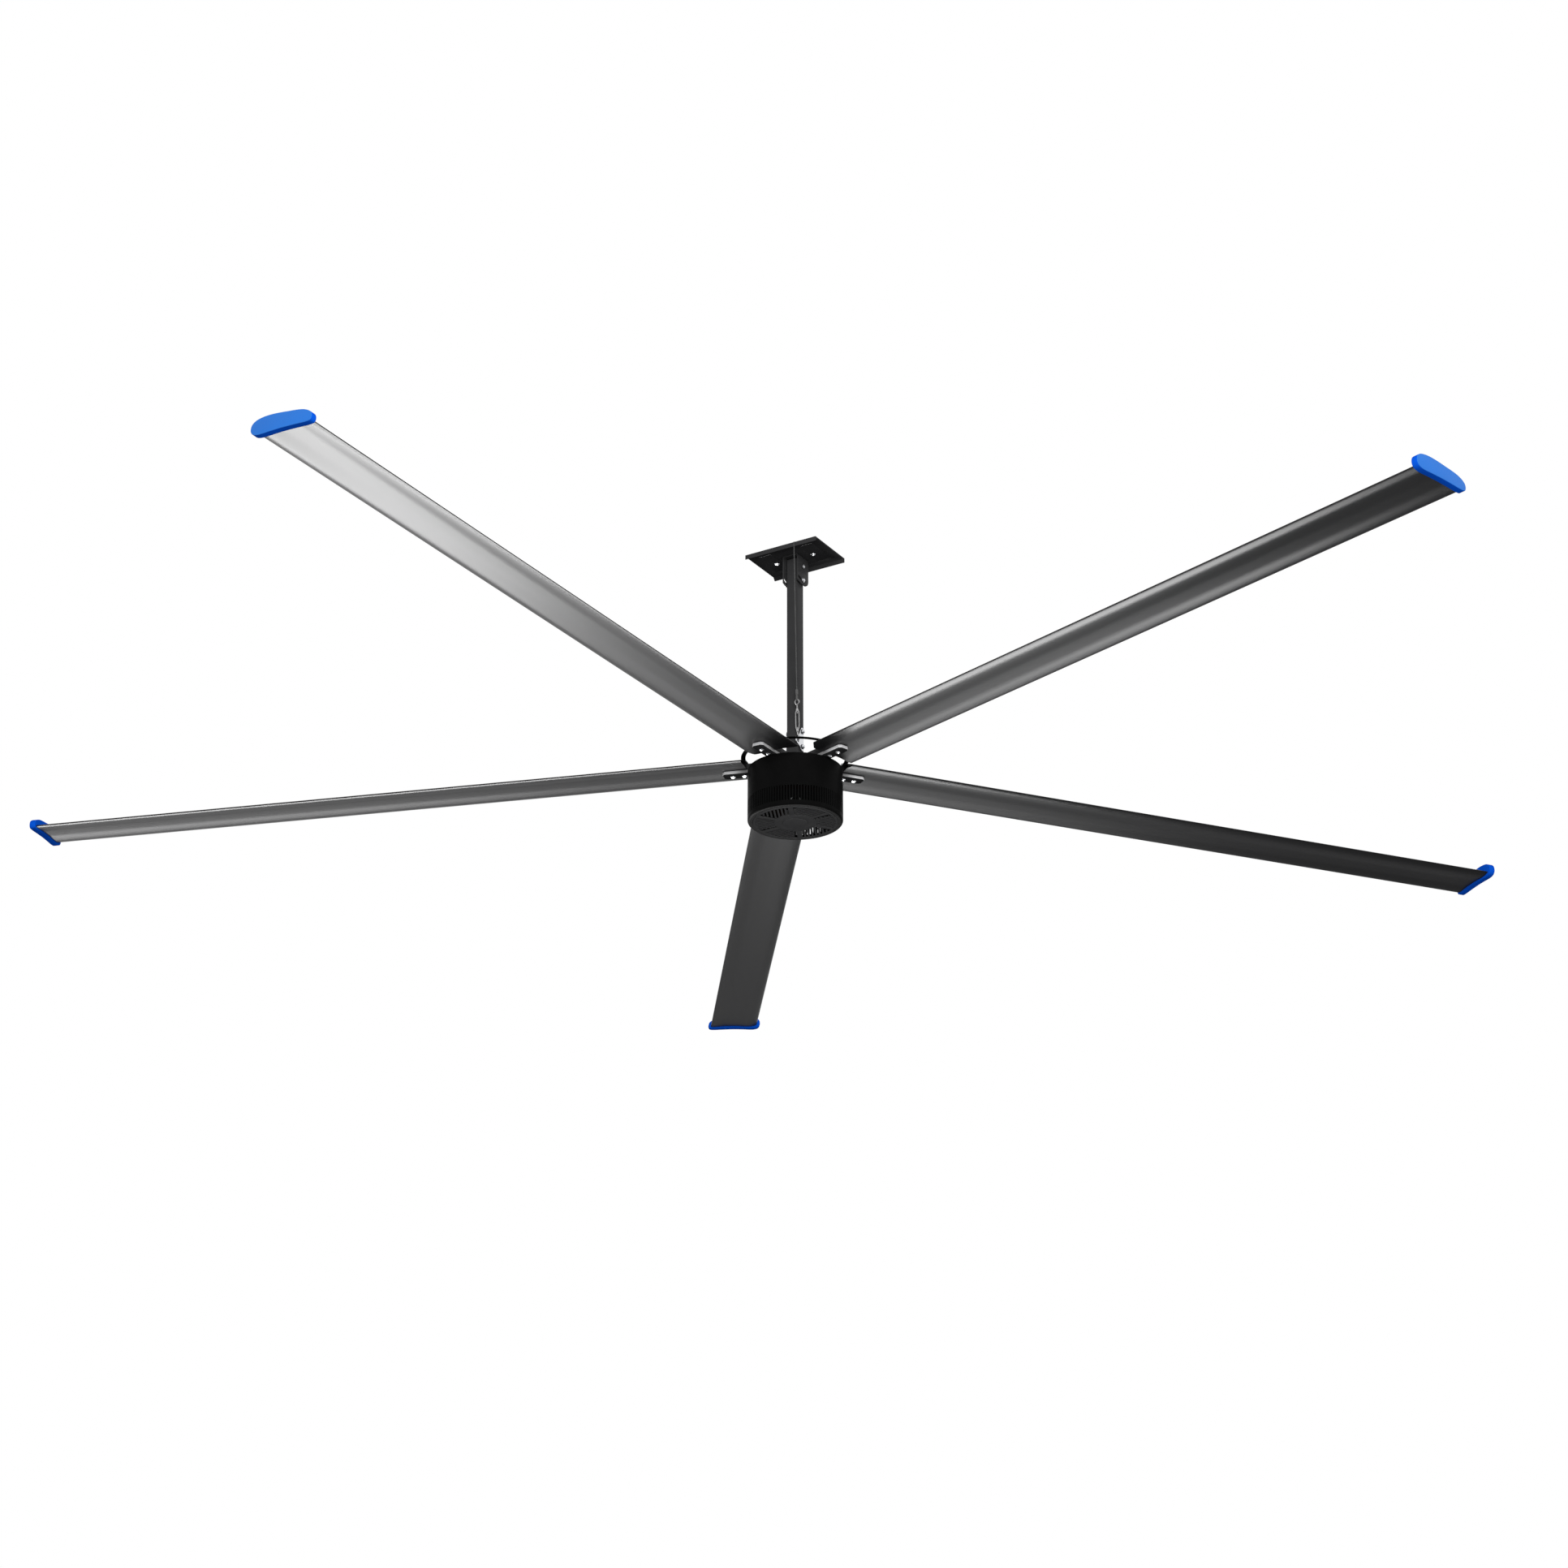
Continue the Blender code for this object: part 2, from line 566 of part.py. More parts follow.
def foot_plate(parent):
    face = TUBE_WIDTH / 2 + FIT_GAP
    top = PLANE_Z + TUBE_FOOT_HEIGHT + FOOT_PLATE_HEIGHT
    plate = box((-face - FOOT_PLATE_THICKNESS, -FOOT_PLATE_WIDTH / 2, PLANE_Z + TUBE_FOOT_HEIGHT),
                (-face, FOOT_PLATE_WIDTH / 2, top))
    heights = (PLANE_Z + UPPER_BOLT_HEIGHT, PLANE_Z + LOWER_BOLT_HEIGHT)
    mesh = combined(plate, cut=[cross_hole(height) for height in heights])
    part("foot_plate", lowered(mesh, PIVOT_Z), CHARCOAL, parent)


# Safety lug: a zinc strap with an eye on a wing

def safety_lug(parent):
    half = LUG_WIDTH / 2
    eye = (LUG_EYE_Y, LUG_EYE_HEIGHT)
    round_eye = arc(eye, LUG_EYE_RADIUS, LUG_EYE_START, LUG_EYE_END, 2 * ARC_STEPS)
    foot = arc((0.0, LUG_FOOT_HEIGHT + half), half, pi, tau, ARC_STEPS)
    top = arc((0.0, LUG_TOP_HEIGHT - half), half, 0.0, pi, ARC_STEPS)
    outline = foot + top + round_eye
    holes = [circle(BOLT_HOLE_RADIUS, BOLT_SIDES, (0.0, height))
             for height in (UPPER_BOLT_HEIGHT, LOWER_BOLT_HEIGHT)]
    holes.append(circle(LUG_HOLE_RADIUS, ROD_SIDES, eye))
    strap = prism([outline] + holes, LUG_X - LUG_THICKNESS / 2, LUG_X + LUG_THICKNESS / 2, ACROSS_X)
    mesh = combined(strap)
    mesh.transform(Matrix.Translation((0.0, 0.0, PLANE_Z - PIVOT_Z)))
    part("safety_lug", mesh, ZINC, parent)


# Motor shaft, stator and bearings, which hang still from the tube

def motor_shaft(parent):
    spigot = TUBE_WIDTH / 2 - TUBE_WALL - FIT_GAP
    collar_top = TUBE_FOOT_HEIGHT - FIT_GAP
    collar_foot = collar_top - SHAFT_COLLAR_THICKNESS
    profile = [(0.0, SHAFT_SPIGOT_HEIGHT), (spigot, SHAFT_SPIGOT_HEIGHT), (spigot, collar_top),
               (SHAFT_COLLAR_RADIUS, collar_top), (SHAFT_COLLAR_RADIUS, collar_foot), (SHAFT_RADIUS, collar_foot),
               (SHAFT_RADIUS, -STATOR_FOOT_DROP), (SHAFT_LOWER_RADIUS, -STATOR_FOOT_DROP),
               (SHAFT_LOWER_RADIUS, -SHAFT_FOOT_DROP), (0.0, -SHAFT_FOOT_DROP)]
    shaft = turned(profile, steps=ROD_SIDES, closed=False)
    mesh = combined(shaft, cut=[cross_hole(UPPER_BOLT_HEIGHT), cross_hole(LOWER_BOLT_HEIGHT)])
    part("motor_shaft", mesh, STEEL, parent)


def ring_profile(inner, outer, low, high):
    return [(outer, high), (outer, low), (inner, low), (inner, high)]


def bearings(parent):
    sizes = (("upper_bearing", UPPER_BEARING_RADIUS, SHAFT_RADIUS, -HUB_BOSS_FOOT_DROP, UPPER_BEARING_TOP),
             ("lower_bearing", LOWER_BEARING_RADIUS, SHAFT_LOWER_RADIUS, LOWER_BEARING_FOOT,
              -LOWER_BEARING_TOP_DROP))
    for name, outer, bore, low, high in sizes:
        mesh = combined(turned(ring_profile(bore + FIT_GAP, outer, low, high), steps=ROD_SIDES))
        part(name, mesh, STEEL, parent)


def shaft_nut(parent):
    top = LOWER_BEARING_FOOT - FIT_GAP
    nut = hexagon(SHAFT_NUT_FLATS, top - SHAFT_NUT_HEIGHT, top)
    bore = cylinder(SHAFT_LOWER_RADIUS + FIT_GAP, -GRILLE_FACE_DROP, top + SHAFT_NUT_HEIGHT, sides=ROD_SIDES)
    part("shaft_nut", combined(nut, cut=[bore]), STEEL, parent)


def stator_slot_box(low, high, margin):
    """One box along +X that reaches in from the stator's rim, thinner by a margin on each side."""
    half = STATOR_SLOT_WIDTH / 2 - margin
    inner = STATOR_RADIUS - STATOR_SLOT_DEPTH + margin
    return (inner, -half, low), (STATOR_RADIUS - margin, half, high)


def slot_turns():
    return [Matrix.Rotation(tau * index / STATOR_SLOTS, 4, "Z") for index in range(STATOR_SLOTS)]


def stator_core(parent):
    low, high = -STATOR_FOOT_DROP, -STATOR_TOP_DROP
    core = turned(ring_profile(SHAFT_RADIUS + FIT_GAP, STATOR_RADIUS, low, high), steps=INNER_SIDES)
    corner, far = stator_slot_box(low - WINDING_HEIGHT, high + WINDING_HEIGHT, 0.0)
    far = (STATOR_RADIUS + STATOR_SLOT_DEPTH, far[1], far[2])
    cutters = [box(corner, far, turn) for turn in slot_turns()]
    part("stator_core", combined(core, cut=cutters), IRON, parent)


def stator_winding(parent):
    """Copper in every slot, joined by a ring of end turns over and under the core."""
    core_low, core_high = -STATOR_FOOT_DROP, -STATOR_TOP_DROP
    inner = STATOR_RADIUS - STATOR_SLOT_DEPTH + WINDING_INSET
    outer = STATOR_RADIUS - WINDING_INSET
    top = turned(ring_profile(inner, outer, core_high + FIT_GAP, core_high + WINDING_HEIGHT), INNER_SIDES)
    foot = turned(ring_profile(inner, outer, core_low - WINDING_HEIGHT, core_low - FIT_GAP), INNER_SIDES)
    overlap = WINDING_HEIGHT / 2
    low, high = stator_slot_box(core_low - overlap, core_high + overlap, WINDING_INSET + FIT_GAP)
    bars = [box(low, high, turn) for turn in slot_turns()]
    part("stator_winding", combined(top, [foot] + bars), COPPER, parent)


# Turning motor parts

def motor_housing(parent):
    outer, inner = HOUSING_RADIUS, HOUSING_INNER_RADIUS
    foot = -HOUSING_FOOT_DROP
    ledge_top = LEDGE_FOOT + LEDGE_THICKNESS
    bead = arc((outer - BEAD_RADIUS, foot + BEAD_RADIUS), BEAD_RADIUS, 0.0, -pi / 2, SLOT_END_STEPS)
    profile = [(outer, HOUSING_TOP)] + bead
    profile += [(BEAD_INNER_RADIUS, foot), (BEAD_INNER_RADIUS, LEDGE_FOOT), (LEDGE_RADIUS, LEDGE_FOOT),
                (LEDGE_RADIUS, ledge_top), (inner, ledge_top), (inner, HOUSING_TOP)]
    shell = turned(profile, steps=SIDE_SLOT_COUNT // 2)
    slots = bmesh.new()
    half_turn = pi / SIDE_SLOT_COUNT
    middle = (-SIDE_SLOT_TOP_DROP - SIDE_SLOT_FOOT_DROP) / 2
    height = SIDE_SLOT_FOOT_DROP - SIDE_SLOT_TOP_DROP
    size = Matrix.Diagonal((4 * HOUSING_WALL, SIDE_SLOT_WIDTH, height, 1.0))
    for index in range(SIDE_SLOT_COUNT):
        turn = Matrix.Rotation(half_turn * (2 * index + 1), 4, "Z")
        place = turn @ Matrix.Translation((outer - HOUSING_WALL / 2, 0.0, middle)) @ size
        bmesh.ops.create_cube(slots, size=1.0, matrix=place)
    part("motor_housing", combined(shell, cut=[tool(from_bmesh(slots))]), BLACK, parent)


def hub_plate(parent):
    """Top plate of the motor, with its bearing boss and a stud and nut for each hub arm."""
    boss_foot = -HUB_BOSS_FOOT_DROP
    bore = UPPER_BEARING_RADIUS + FIT_GAP
    step = UPPER_BEARING_TOP + FIT_GAP
    profile = [(HUB_PLATE_RADIUS, HUB_TOP), (HUB_PLATE_RADIUS, HUB_FOOT), (HUB_BOSS_RADIUS, HUB_FOOT),
               (HUB_BOSS_RADIUS, boss_foot), (bore, boss_foot), (bore, step), (HUB_OPENING_RADIUS, step),
               (HUB_OPENING_RADIUS, HUB_TOP)]
    plate = turned(profile)
    nut_seat = ARM_TOP_HEIGHT + FIT_GAP
    nut_top = nut_seat + BOLT_HEAD_HEIGHT
    stub = BOLT_HEAD_HEIGHT * BOLT_STUB_SHARE
    studs = []
    for angle in blade_angles():
        place = Matrix.Rotation(angle, 4, "Z") @ Matrix.Translation((STUD_RADIUS_POSITION, 0.0, 0.0))
        askew = place @ Matrix.Rotation(pi / BOLT_SIDES, 4, "Z")
        studs.append(cylinder(BOLT_RADIUS, (HUB_TOP + HUB_FOOT) / 2, nut_top + stub, matrix=askew))
        studs.append(hexagon(BOLT_FLATS, nut_seat, nut_top, place))
    part("hub_plate", combined(plate, studs), BLACK, parent)


def magnet_ring(parent):
    inner = MAGNET_OUTER_RADIUS - MAGNET_THICKNESS
    mesh = combined(turned(ring_profile(inner, MAGNET_OUTER_RADIUS, -STATOR_FOOT_DROP, -MAGNET_TOP_DROP)))
    part("magnet_ring", mesh, MAGNET, parent)


def line_reach(offset, radius):
    return (radius * radius - offset * offset) ** 0.5


def sector_limit(across):
    """How far along the spoke a line this far from it enters the sector, past the next spoke's edge."""
    edge = GRILLE_NEXT_OFFSET / sin(GRILLE_NEXT_ANGLE)
    return edge + across * cos(GRILLE_NEXT_ANGLE) / sin(GRILLE_NEXT_ANGLE)


def grille_slots():
    """One sector's slots, all parallel to the spoke on their counter-clockwise side."""
    outlines = []
    count = int((GRILLE_SLOTS_OUTER_RADIUS - GRILLE_FIRST_OFFSET) / GRILLE_SLOT_PITCH) + 1
    for index in range(count):
        near = GRILLE_FIRST_OFFSET + index * GRILLE_SLOT_PITCH - GRILLE_SLOT_WIDTH / 2
        far = near + GRILLE_SLOT_WIDTH
        if far >= GRILLE_SLOTS_OUTER_RADIUS:
            break
        starts, ends = [], []
        for across in (near, far):
            inside = line_reach(min(across, GRILLE_SLOTS_INNER_RADIUS), GRILLE_SLOTS_INNER_RADIUS)
            starts.append(max(inside, sector_limit(across)))
            ends.append(line_reach(across, GRILLE_SLOTS_OUTER_RADIUS))
        if ends[1] - starts[1] > GRILLE_SLOT_WIDTH:
            outlines.append([(starts[0], -near), (ends[0], -near), (ends[1], -far), (starts[1], -far)])
    return outlines


def bottom_grille(parent):
    outlines = [circle(GRILLE_RADIUS)]
    for index in range(GRILLE_SECTORS):
        turn = GRILLE_SPOKE_ANGLE + tau * index / GRILLE_SECTORS
        for outline in grille_slots():
            corners = [Matrix.Rotation(turn, 2) @ Vector(place) for place in outline]
            outlines.append([tuple(corner) for corner in corners])
    plate = prism(outlines, GRILLE_FOOT, GRILLE_TOP)
    middle = (GRILLE_FOOT + GRILLE_TOP) / 2
    bore = LOWER_BEARING_RADIUS + FIT_GAP
    step = LOWER_BEARING_FOOT - FIT_GAP
    top = -LOWER_BEARING_TOP_DROP
    boss = turned([(GRILLE_BOSS_RADIUS, top), (GRILLE_BOSS_RADIUS, middle), (NUT_ROOM_RADIUS, middle),
                   (NUT_ROOM_RADIUS, step), (bore, step), (bore, top)])
    recess = cylinder(CENTRE_CAP_RADIUS + FIT_GAP, GRILLE_FOOT - GRILLE_THICKNESS,
                      GRILLE_FOOT + CENTRE_CAP_THICKNESS / 2, sides=FINE_SIDES)
    part("bottom_grille", combined(plate, [boss], [recess]), BLACK, parent)


def centre_cap(parent):
    top = GRILLE_FOOT + CENTRE_CAP_THICKNESS / 2 - FIT_GAP
    disc = cylinder(CENTRE_CAP_RADIUS, top - CENTRE_CAP_THICKNESS, top, sides=FINE_SIDES)
    part("centre_cap", combined(disc), BLACK, parent)


# Blades and what holds them, drawn along +X and turned to each blade's angle

def blade_angles():
    return [BLADE_START_ANGLE + tau * index / BLADE_COUNT for index in range(BLADE_COUNT)]


def cell(start, end):
    """Hollow between the blade's two skins from one web to the next."""
    floor = [x * BLADE_CHORD for x, z in BLADE_UNDER_SHARES if start < x * BLADE_CHORD < end]
    roof = [x * BLADE_CHORD for x, z in BLADE_TOP_SHARES if start < x * BLADE_CHORD < end]
    lower = [(x, section_height(BLADE_UNDER_SHARES, x) + BLADE_WALL) for x in [start] + floor + [end]]
    upper = [(x, section_height(BLADE_TOP_SHARES, x) - BLADE_WALL) for x in [start] + roof + [end]]
    return lower + upper[::-1]


# Sections are drawn (along the chord, up) and run out along X
ALONG_BLADE = ACROSS_X
CELL_HALF = HOLDER_HALF + FIT_GAP
ARM_FOOT = section_height(BLADE_UNDER_SHARES, 0.0) + BLADE_WALL + FIT_GAP


def blade_mesh():
    under = [(x * BLADE_CHORD, z * BLADE_CHORD) for x, z in BLADE_UNDER_SHARES]
    over = [(x * BLADE_CHORD, z * BLADE_CHORD) for x, z in reversed(BLADE_TOP_SHARES[1:])]
    web = CELL_HALF + WEB_THICKNESS
    cells = [cell(FRONT_CELL_NOSE_SHARE * BLADE_CHORD, -web), cell(-CELL_HALF, CELL_HALF),
             cell(web, REAR_CELL_TAIL_SHARE * BLADE_CHORD)]
    body = prism([under + over] + cells, BLADE_ROOT_RADIUS, BLADE_END_RADIUS, ALONG_BLADE)
    reach = BLADE_CHORD / 4
    holes = [cylinder(BOLT_HOLE_RADIUS, -reach, reach, centre=(radius, 0.0))
             for radius in (INNER_BOLT_RADIUS_POSITION, OUTER_BOLT_RADIUS_POSITION)]
    edge = BLADE_UNDER_SHARES[0][0] * BLADE_CHORD
    root, chamfer = BLADE_ROOT_RADIUS, BLADE_CORNER_CHAMFER
    corner = [(root, edge + chamfer), (root - chamfer, edge), (root, edge - chamfer), (root + chamfer, edge)]
    return combined(body, cut=holes + [prism([corner], -reach, reach)])


def end_cap_mesh():
    outline = [(x * BLADE_CHORD, z * BLADE_CHORD) for x, z in reversed(CAP_OUTLINE_SHARES)]
    low = BLADE_END_RADIUS + FIT_GAP
    cap = prism([outline], low, low + CAP_THICKNESS, ALONG_BLADE)
    bevel = cap.modifiers.new("edge", "BEVEL")
    bevel.width = CAP_EDGE_ROUNDING
    bevel.segments = 2
    bevel.limit_method = "ANGLE"
    bevel.angle_limit = CAP_BEVEL_ANGLE
    half = CELL_HALF - PLUG_FIT
    floor = ARM_FOOT + PLUG_FIT
    roof = section_height(BLADE_TOP_SHARES, -CELL_HALF) - BLADE_WALL - PLUG_FIT
    plug = box((low - PLUG_LENGTH, -half, floor), (low + CAP_THICKNESS / 2, half, roof))
    return combined(tool(evaluated_mesh(cap)), [plug])


def hub_arm_mesh():
    """A bar on the bracket that steps up to slide into the blade's middle cell."""
    step_at = BLADE_ROOT_RADIUS - BLADE_WALL
    foot = BAR_TOP + FIT_GAP
    outline = [(ARM_INNER_RADIUS, foot), (step_at, foot), (step_at, ARM_FOOT), (ARM_OUTER_RADIUS, ARM_FOOT),
               (ARM_OUTER_RADIUS, ARM_TOP_HEIGHT), (ARM_INNER_RADIUS, ARM_TOP_HEIGHT)]
    bar = prism([outline], -HOLDER_HALF, HOLDER_HALF, ACROSS_Y)
    return combined(bar, cut=holder_holes())


def holder_holes():
    reach = HOLDER_WIDTH
    positions = (STUD_RADIUS_POSITION, INNER_BOLT_RADIUS_POSITION, OUTER_BOLT_RADIUS_POSITION)
    return [cylinder(BOLT_HOLE_RADIUS, -reach, reach, centre=(radius, 0.0)) for radius in positions]


def bracket_mesh():
    half, cut = HOLDER_HALF, BAR_CORNER_CHAMFER
    outline = [(BAR_INNER_RADIUS, -half), (BAR_OUTER_RADIUS - cut, -half), (BAR_OUTER_RADIUS, cut - half),
               (BAR_OUTER_RADIUS, half - cut), (BAR_OUTER_RADIUS - cut, half), (BAR_INNER_RADIUS, half)]
    return combined(prism([outline], BAR_FOOT, BAR_TOP), cut=holder_holes())


def blades(parent):
    head_seat = BAR_FOOT - FIT_GAP
    ring_top = BLADE_TOP + FIT_GAP + RING_THICKNESS + FIT_GAP
    inner_bolt = bolt_mesh(head_seat, ring_top)
    inner_bolt.transform(Matrix.Translation((INNER_BOLT_RADIUS_POSITION, 0.0, 0.0)))
    outer_bolt = bolt_mesh(head_seat, BLADE_TOP + FIT_GAP)
    outer_bolt.transform(Matrix.Translation((OUTER_BOLT_RADIUS_POSITION, 0.0, 0.0)))
    meshes = (("blade", blade_mesh(), BLADE_GREY), ("end_cap", end_cap_mesh(), BLUE),
              ("hub_arm", hub_arm_mesh(), CHARCOAL), ("blade_bracket", bracket_mesh(), CHARCOAL),
              ("inner_blade_bolt", inner_bolt, ZINC), ("outer_blade_bolt", outer_bolt, ZINC))
    for index, angle in enumerate(blade_angles(), 1):
        for name, mesh, look in meshes:
            part(f"{name}_{index}", mesh, look, parent, turn=angle)


def retention_ring(parent):
    low = BLADE_TOP + FIT_GAP
    holes = [circle(BOLT_HOLE_RADIUS, BOLT_SIDES, (INNER_BOLT_RADIUS_POSITION * cos(angle),
                                                   INNER_BOLT_RADIUS_POSITION * sin(angle)))
             for angle in blade_angles()]
    ring = prism([circle(RING_OUTER_RADIUS), circle(RING_INNER_RADIUS)] + holes, low, low + RING_THICKNESS)
    part("retention_ring", combined(ring), BLACK, parent)


# Safety cable and turnbuckle. They hang on the line up from the hook's seat, which they turn about.

def cable_turn():
    up = (CABLE_TOP - HOOK_POINT).normalized()
    side = Vector((1.0, 0.0, 0.0))
    side = (side - up * side.dot(up)).normalized()
    front = up.cross(side)
    return Matrix((side, front, up)).transposed().to_euler()


def safety_cable(parent):
    """Wire rope with its lower end turned round the eye's wire and back into a pressed ferrule."""
    foot = FERRULE_FOOT_HEIGHT
    line = wire([(0.0, 0.0, CABLE_LENGTH), (0.0, 0.0, foot + FERRULE_LENGTH / 2)], CABLE_RADIUS)
    ferrule = cylinder(FERRULE_RADIUS, foot, foot + FERRULE_LENGTH)
    bend = CABLE_RADIUS + EYE_WIRE_RADIUS + 2 * FIT_GAP
    centre = EYE_HEIGHT + EYE_RADIUS + FIT_GAP
    apart = CABLE_RADIUS + FIT_GAP
    turn = [(0.0, y, z) for y, z in arc((0.0, centre), bend, 0.0, -pi, 2 * SLOT_END_STEPS)]
    inside = foot + FERRULE_LENGTH / 4
    loop = wire([(0.0, apart, inside)] + turn + [(0.0, -apart, inside)], CABLE_RADIUS)
    part("safety_cable", combined(ferrule, [line, loop]), ZINC, parent)


def turnbuckle_eye(parent):
    ring = [(x, 0.0, z) for x, z in circle(EYE_RADIUS, ROD_SIDES, (0.0, EYE_HEIGHT))]
    eye = wire(ring, EYE_WIRE_RADIUS, cyclic=True)
    low = FRAME_TOP_HEIGHT - FRAME_BOSS_LENGTH - SHANK_REACH
    shank = cylinder(SHANK_RADIUS, low, EYE_HEIGHT - EYE_RADIUS)
    part("turnbuckle_eye", combined(shank, [eye]), ZINC, parent)


def turnbuckle_frame(parent):
    """Two long wires that meet in a bored boss at each end."""
    top = FRAME_TOP_HEIGHT - FRAME_BOSS_LENGTH / 2
    foot = FRAME_FOOT_HEIGHT + FRAME_BOSS_LENGTH / 2
    half = FRAME_WIDTH / 2 - FRAME_WIRE_RADIUS
    near = FRAME_BOSS_RADIUS - FRAME_WIRE_RADIUS / 2
    shoulder = FRAME_SHOULDER_LENGTH
    side = [(near, top), (half, top - shoulder / 2), (half, foot + shoulder), (near, foot)]
    loop = [(x, 0.0, z) for x, z in side] + [(-x, 0.0, z) for x, z in reversed(side)]
    wires = wire(loop, FRAME_WIRE_RADIUS, cyclic=True)
    upper = cylinder(FRAME_BOSS_RADIUS, top - FRAME_BOSS_LENGTH / 2, top + FRAME_BOSS_LENGTH / 2)
    lower = cylinder(FRAME_BOSS_RADIUS, foot - FRAME_BOSS_LENGTH / 2, foot + FRAME_BOSS_LENGTH / 2)
    bore = cylinder(SHANK_RADIUS + FIT_GAP, 0.0, EYE_HEIGHT)
    part("turnbuckle_frame", combined(upper, [lower, wires], [bore]), ZINC, parent)


def turnbuckle_hook(parent):
    """A shank whose wire bends round through the lug's eye."""
    top = FRAME_FOOT_HEIGHT + FRAME_BOSS_LENGTH + SHANK_REACH
    neck = 2 * HOOK_RADIUS + 2 * SHANK_RADIUS
    bend = arc((0.0, HOOK_RADIUS), HOOK_RADIUS, HOOK_NECK_ANGLE, HOOK_TIP_ANGLE, 2 * ARC_STEPS)
    path = [(0.0, 0.0, top), (0.0, 0.0, neck)] + [(x, 0.0, z) for x, z in bend]
    part("turnbuckle_hook", combined(wire(path, SHANK_RADIUS)), ZINC, parent)


def build():
    ceiling_plate()
    ceiling_bolts()
    swivel_bracket()
    tilt = pivot("tilt_axis", (0.0, 0.0, PIVOT_Z))
    down_tube(tilt)
    swivel_bolts(tilt)
    foot_plate(tilt)
    foot_bolts(tilt)
    safety_lug(tilt)
    still = pivot("motor_frame", (0.0, 0.0, PLANE_Z - PIVOT_Z), tilt)
    motor_shaft(still)
    bearings(still)
    shaft_nut(still)
    stator_core(still)
    stator_winding(still)
    spin = pivot("spin_axis", (0.0, 0.0, PLANE_Z - PIVOT_Z), tilt)
    motor_housing(spin)
    hub_plate(spin)
    magnet_ring(spin)
    bottom_grille(spin)
    centre_cap(spin)
    blades(spin)
    retention_ring(spin)
    seat = pivot("hook_seat", HOOK_POINT - tilt.location, tilt)
    seat.rotation_euler = cable_turn()
    turnbuckle_hook(seat)
    turnbuckle_frame(seat)
    turnbuckle_eye(seat)
    safety_cable(seat)


build()
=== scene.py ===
# %% [markdown]
# ## The fixed frame
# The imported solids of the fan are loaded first, and nothing here moves or resizes them. Every finished
# piece below takes its place from them, and rides on the same body: the ceiling mount, the hanging tube,
# the rotor, or one of the three links of the safety cable. Lengths are metres, and +Z is up.

# %% Load the solids
import json
from math import atan2, cos, pi, radians, sin, tan, tau

import bmesh
import bpy
from mathutils import Matrix, Vector

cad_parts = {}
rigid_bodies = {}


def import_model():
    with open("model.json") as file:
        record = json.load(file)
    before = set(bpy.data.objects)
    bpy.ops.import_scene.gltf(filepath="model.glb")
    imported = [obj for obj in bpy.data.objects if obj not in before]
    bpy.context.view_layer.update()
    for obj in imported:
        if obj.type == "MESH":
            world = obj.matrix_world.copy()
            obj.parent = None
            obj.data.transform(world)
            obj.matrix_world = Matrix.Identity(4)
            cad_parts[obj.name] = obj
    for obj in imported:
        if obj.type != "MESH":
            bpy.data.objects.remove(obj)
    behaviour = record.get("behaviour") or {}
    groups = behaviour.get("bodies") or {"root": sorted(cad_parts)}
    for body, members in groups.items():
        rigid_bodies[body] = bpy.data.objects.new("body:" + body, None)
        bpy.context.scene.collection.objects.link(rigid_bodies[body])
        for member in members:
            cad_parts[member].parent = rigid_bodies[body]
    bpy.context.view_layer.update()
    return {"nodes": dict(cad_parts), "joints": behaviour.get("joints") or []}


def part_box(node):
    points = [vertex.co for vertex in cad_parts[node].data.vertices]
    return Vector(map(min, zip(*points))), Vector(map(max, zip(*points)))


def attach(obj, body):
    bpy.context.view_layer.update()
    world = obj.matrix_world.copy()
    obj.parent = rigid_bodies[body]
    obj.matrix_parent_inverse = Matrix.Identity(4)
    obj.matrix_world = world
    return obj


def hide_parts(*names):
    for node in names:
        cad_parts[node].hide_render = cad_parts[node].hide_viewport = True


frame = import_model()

joints = {joint["name"]: joint for joint in frame["joints"]}
scene_objects = bpy.context.scene.collection.objects

# %% [markdown]
# ## Camera
# The fan hangs above the viewer, so the camera stands low and to one side and looks up 23 degrees. A long
# lens keeps the far blades from shrinking too much. The numbers come from fitting the blade edges, the
# tube and the plate at once.

# %% Camera at the photographed angle
CAMERA_PLACE = (4.6716, -7.8103, -4.6323)
LOOKS_UP = radians(23.0)
TURNED_BY = radians(31.1)
camera_data = bpy.data.cameras.new("photo_camera")
camera_data.lens = 75.0
camera_data.sensor_width = 36.0
camera = bpy.data.objects.new("photo_camera", camera_data)
camera.location = CAMERA_PLACE
camera.rotation_euler = (pi / 2 + LOOKS_UP, 0.0, TURNED_BY)
scene_objects.link(camera)
bpy.context.scene.camera = camera
print("camera to origin:", round(camera.location.length, 2), "m")

# %% [markdown]
# ## Node trees
# Materials and Geometry Nodes are both trees of nodes, and a few helpers keep the rest short. The main one
# adds a node, sets it up and feeds its inputs, each from a plain value or from another node's output. The
# others do one step of a sum, make and part vectors, and mix the colour of a shader.

# %% Helpers for node trees
def feed(tree, value, socket):
    """Gives a socket a value, or links it to an output, or to a node's first output."""
    if isinstance(value, bpy.types.Node):
        value = value.outputs[0]
    if isinstance(value, bpy.types.NodeSocket):
        tree.links.new(value, socket)
    else:
        socket.default_value = value


def add(tree, kind, inputs=None, **settings):
    made = tree.nodes.new(kind)
    for name, value in settings.items():
        setattr(made, name, value)
    for name, value in (inputs or {}).items():
        feed(tree, value, made.inputs[name])
    return made


def calc(tree, operation, *terms):
    made = add(tree, "ShaderNodeMath", operation=operation)
    for socket, term in zip(made.inputs, terms):
        feed(tree, term, socket)
    return made.outputs[0]


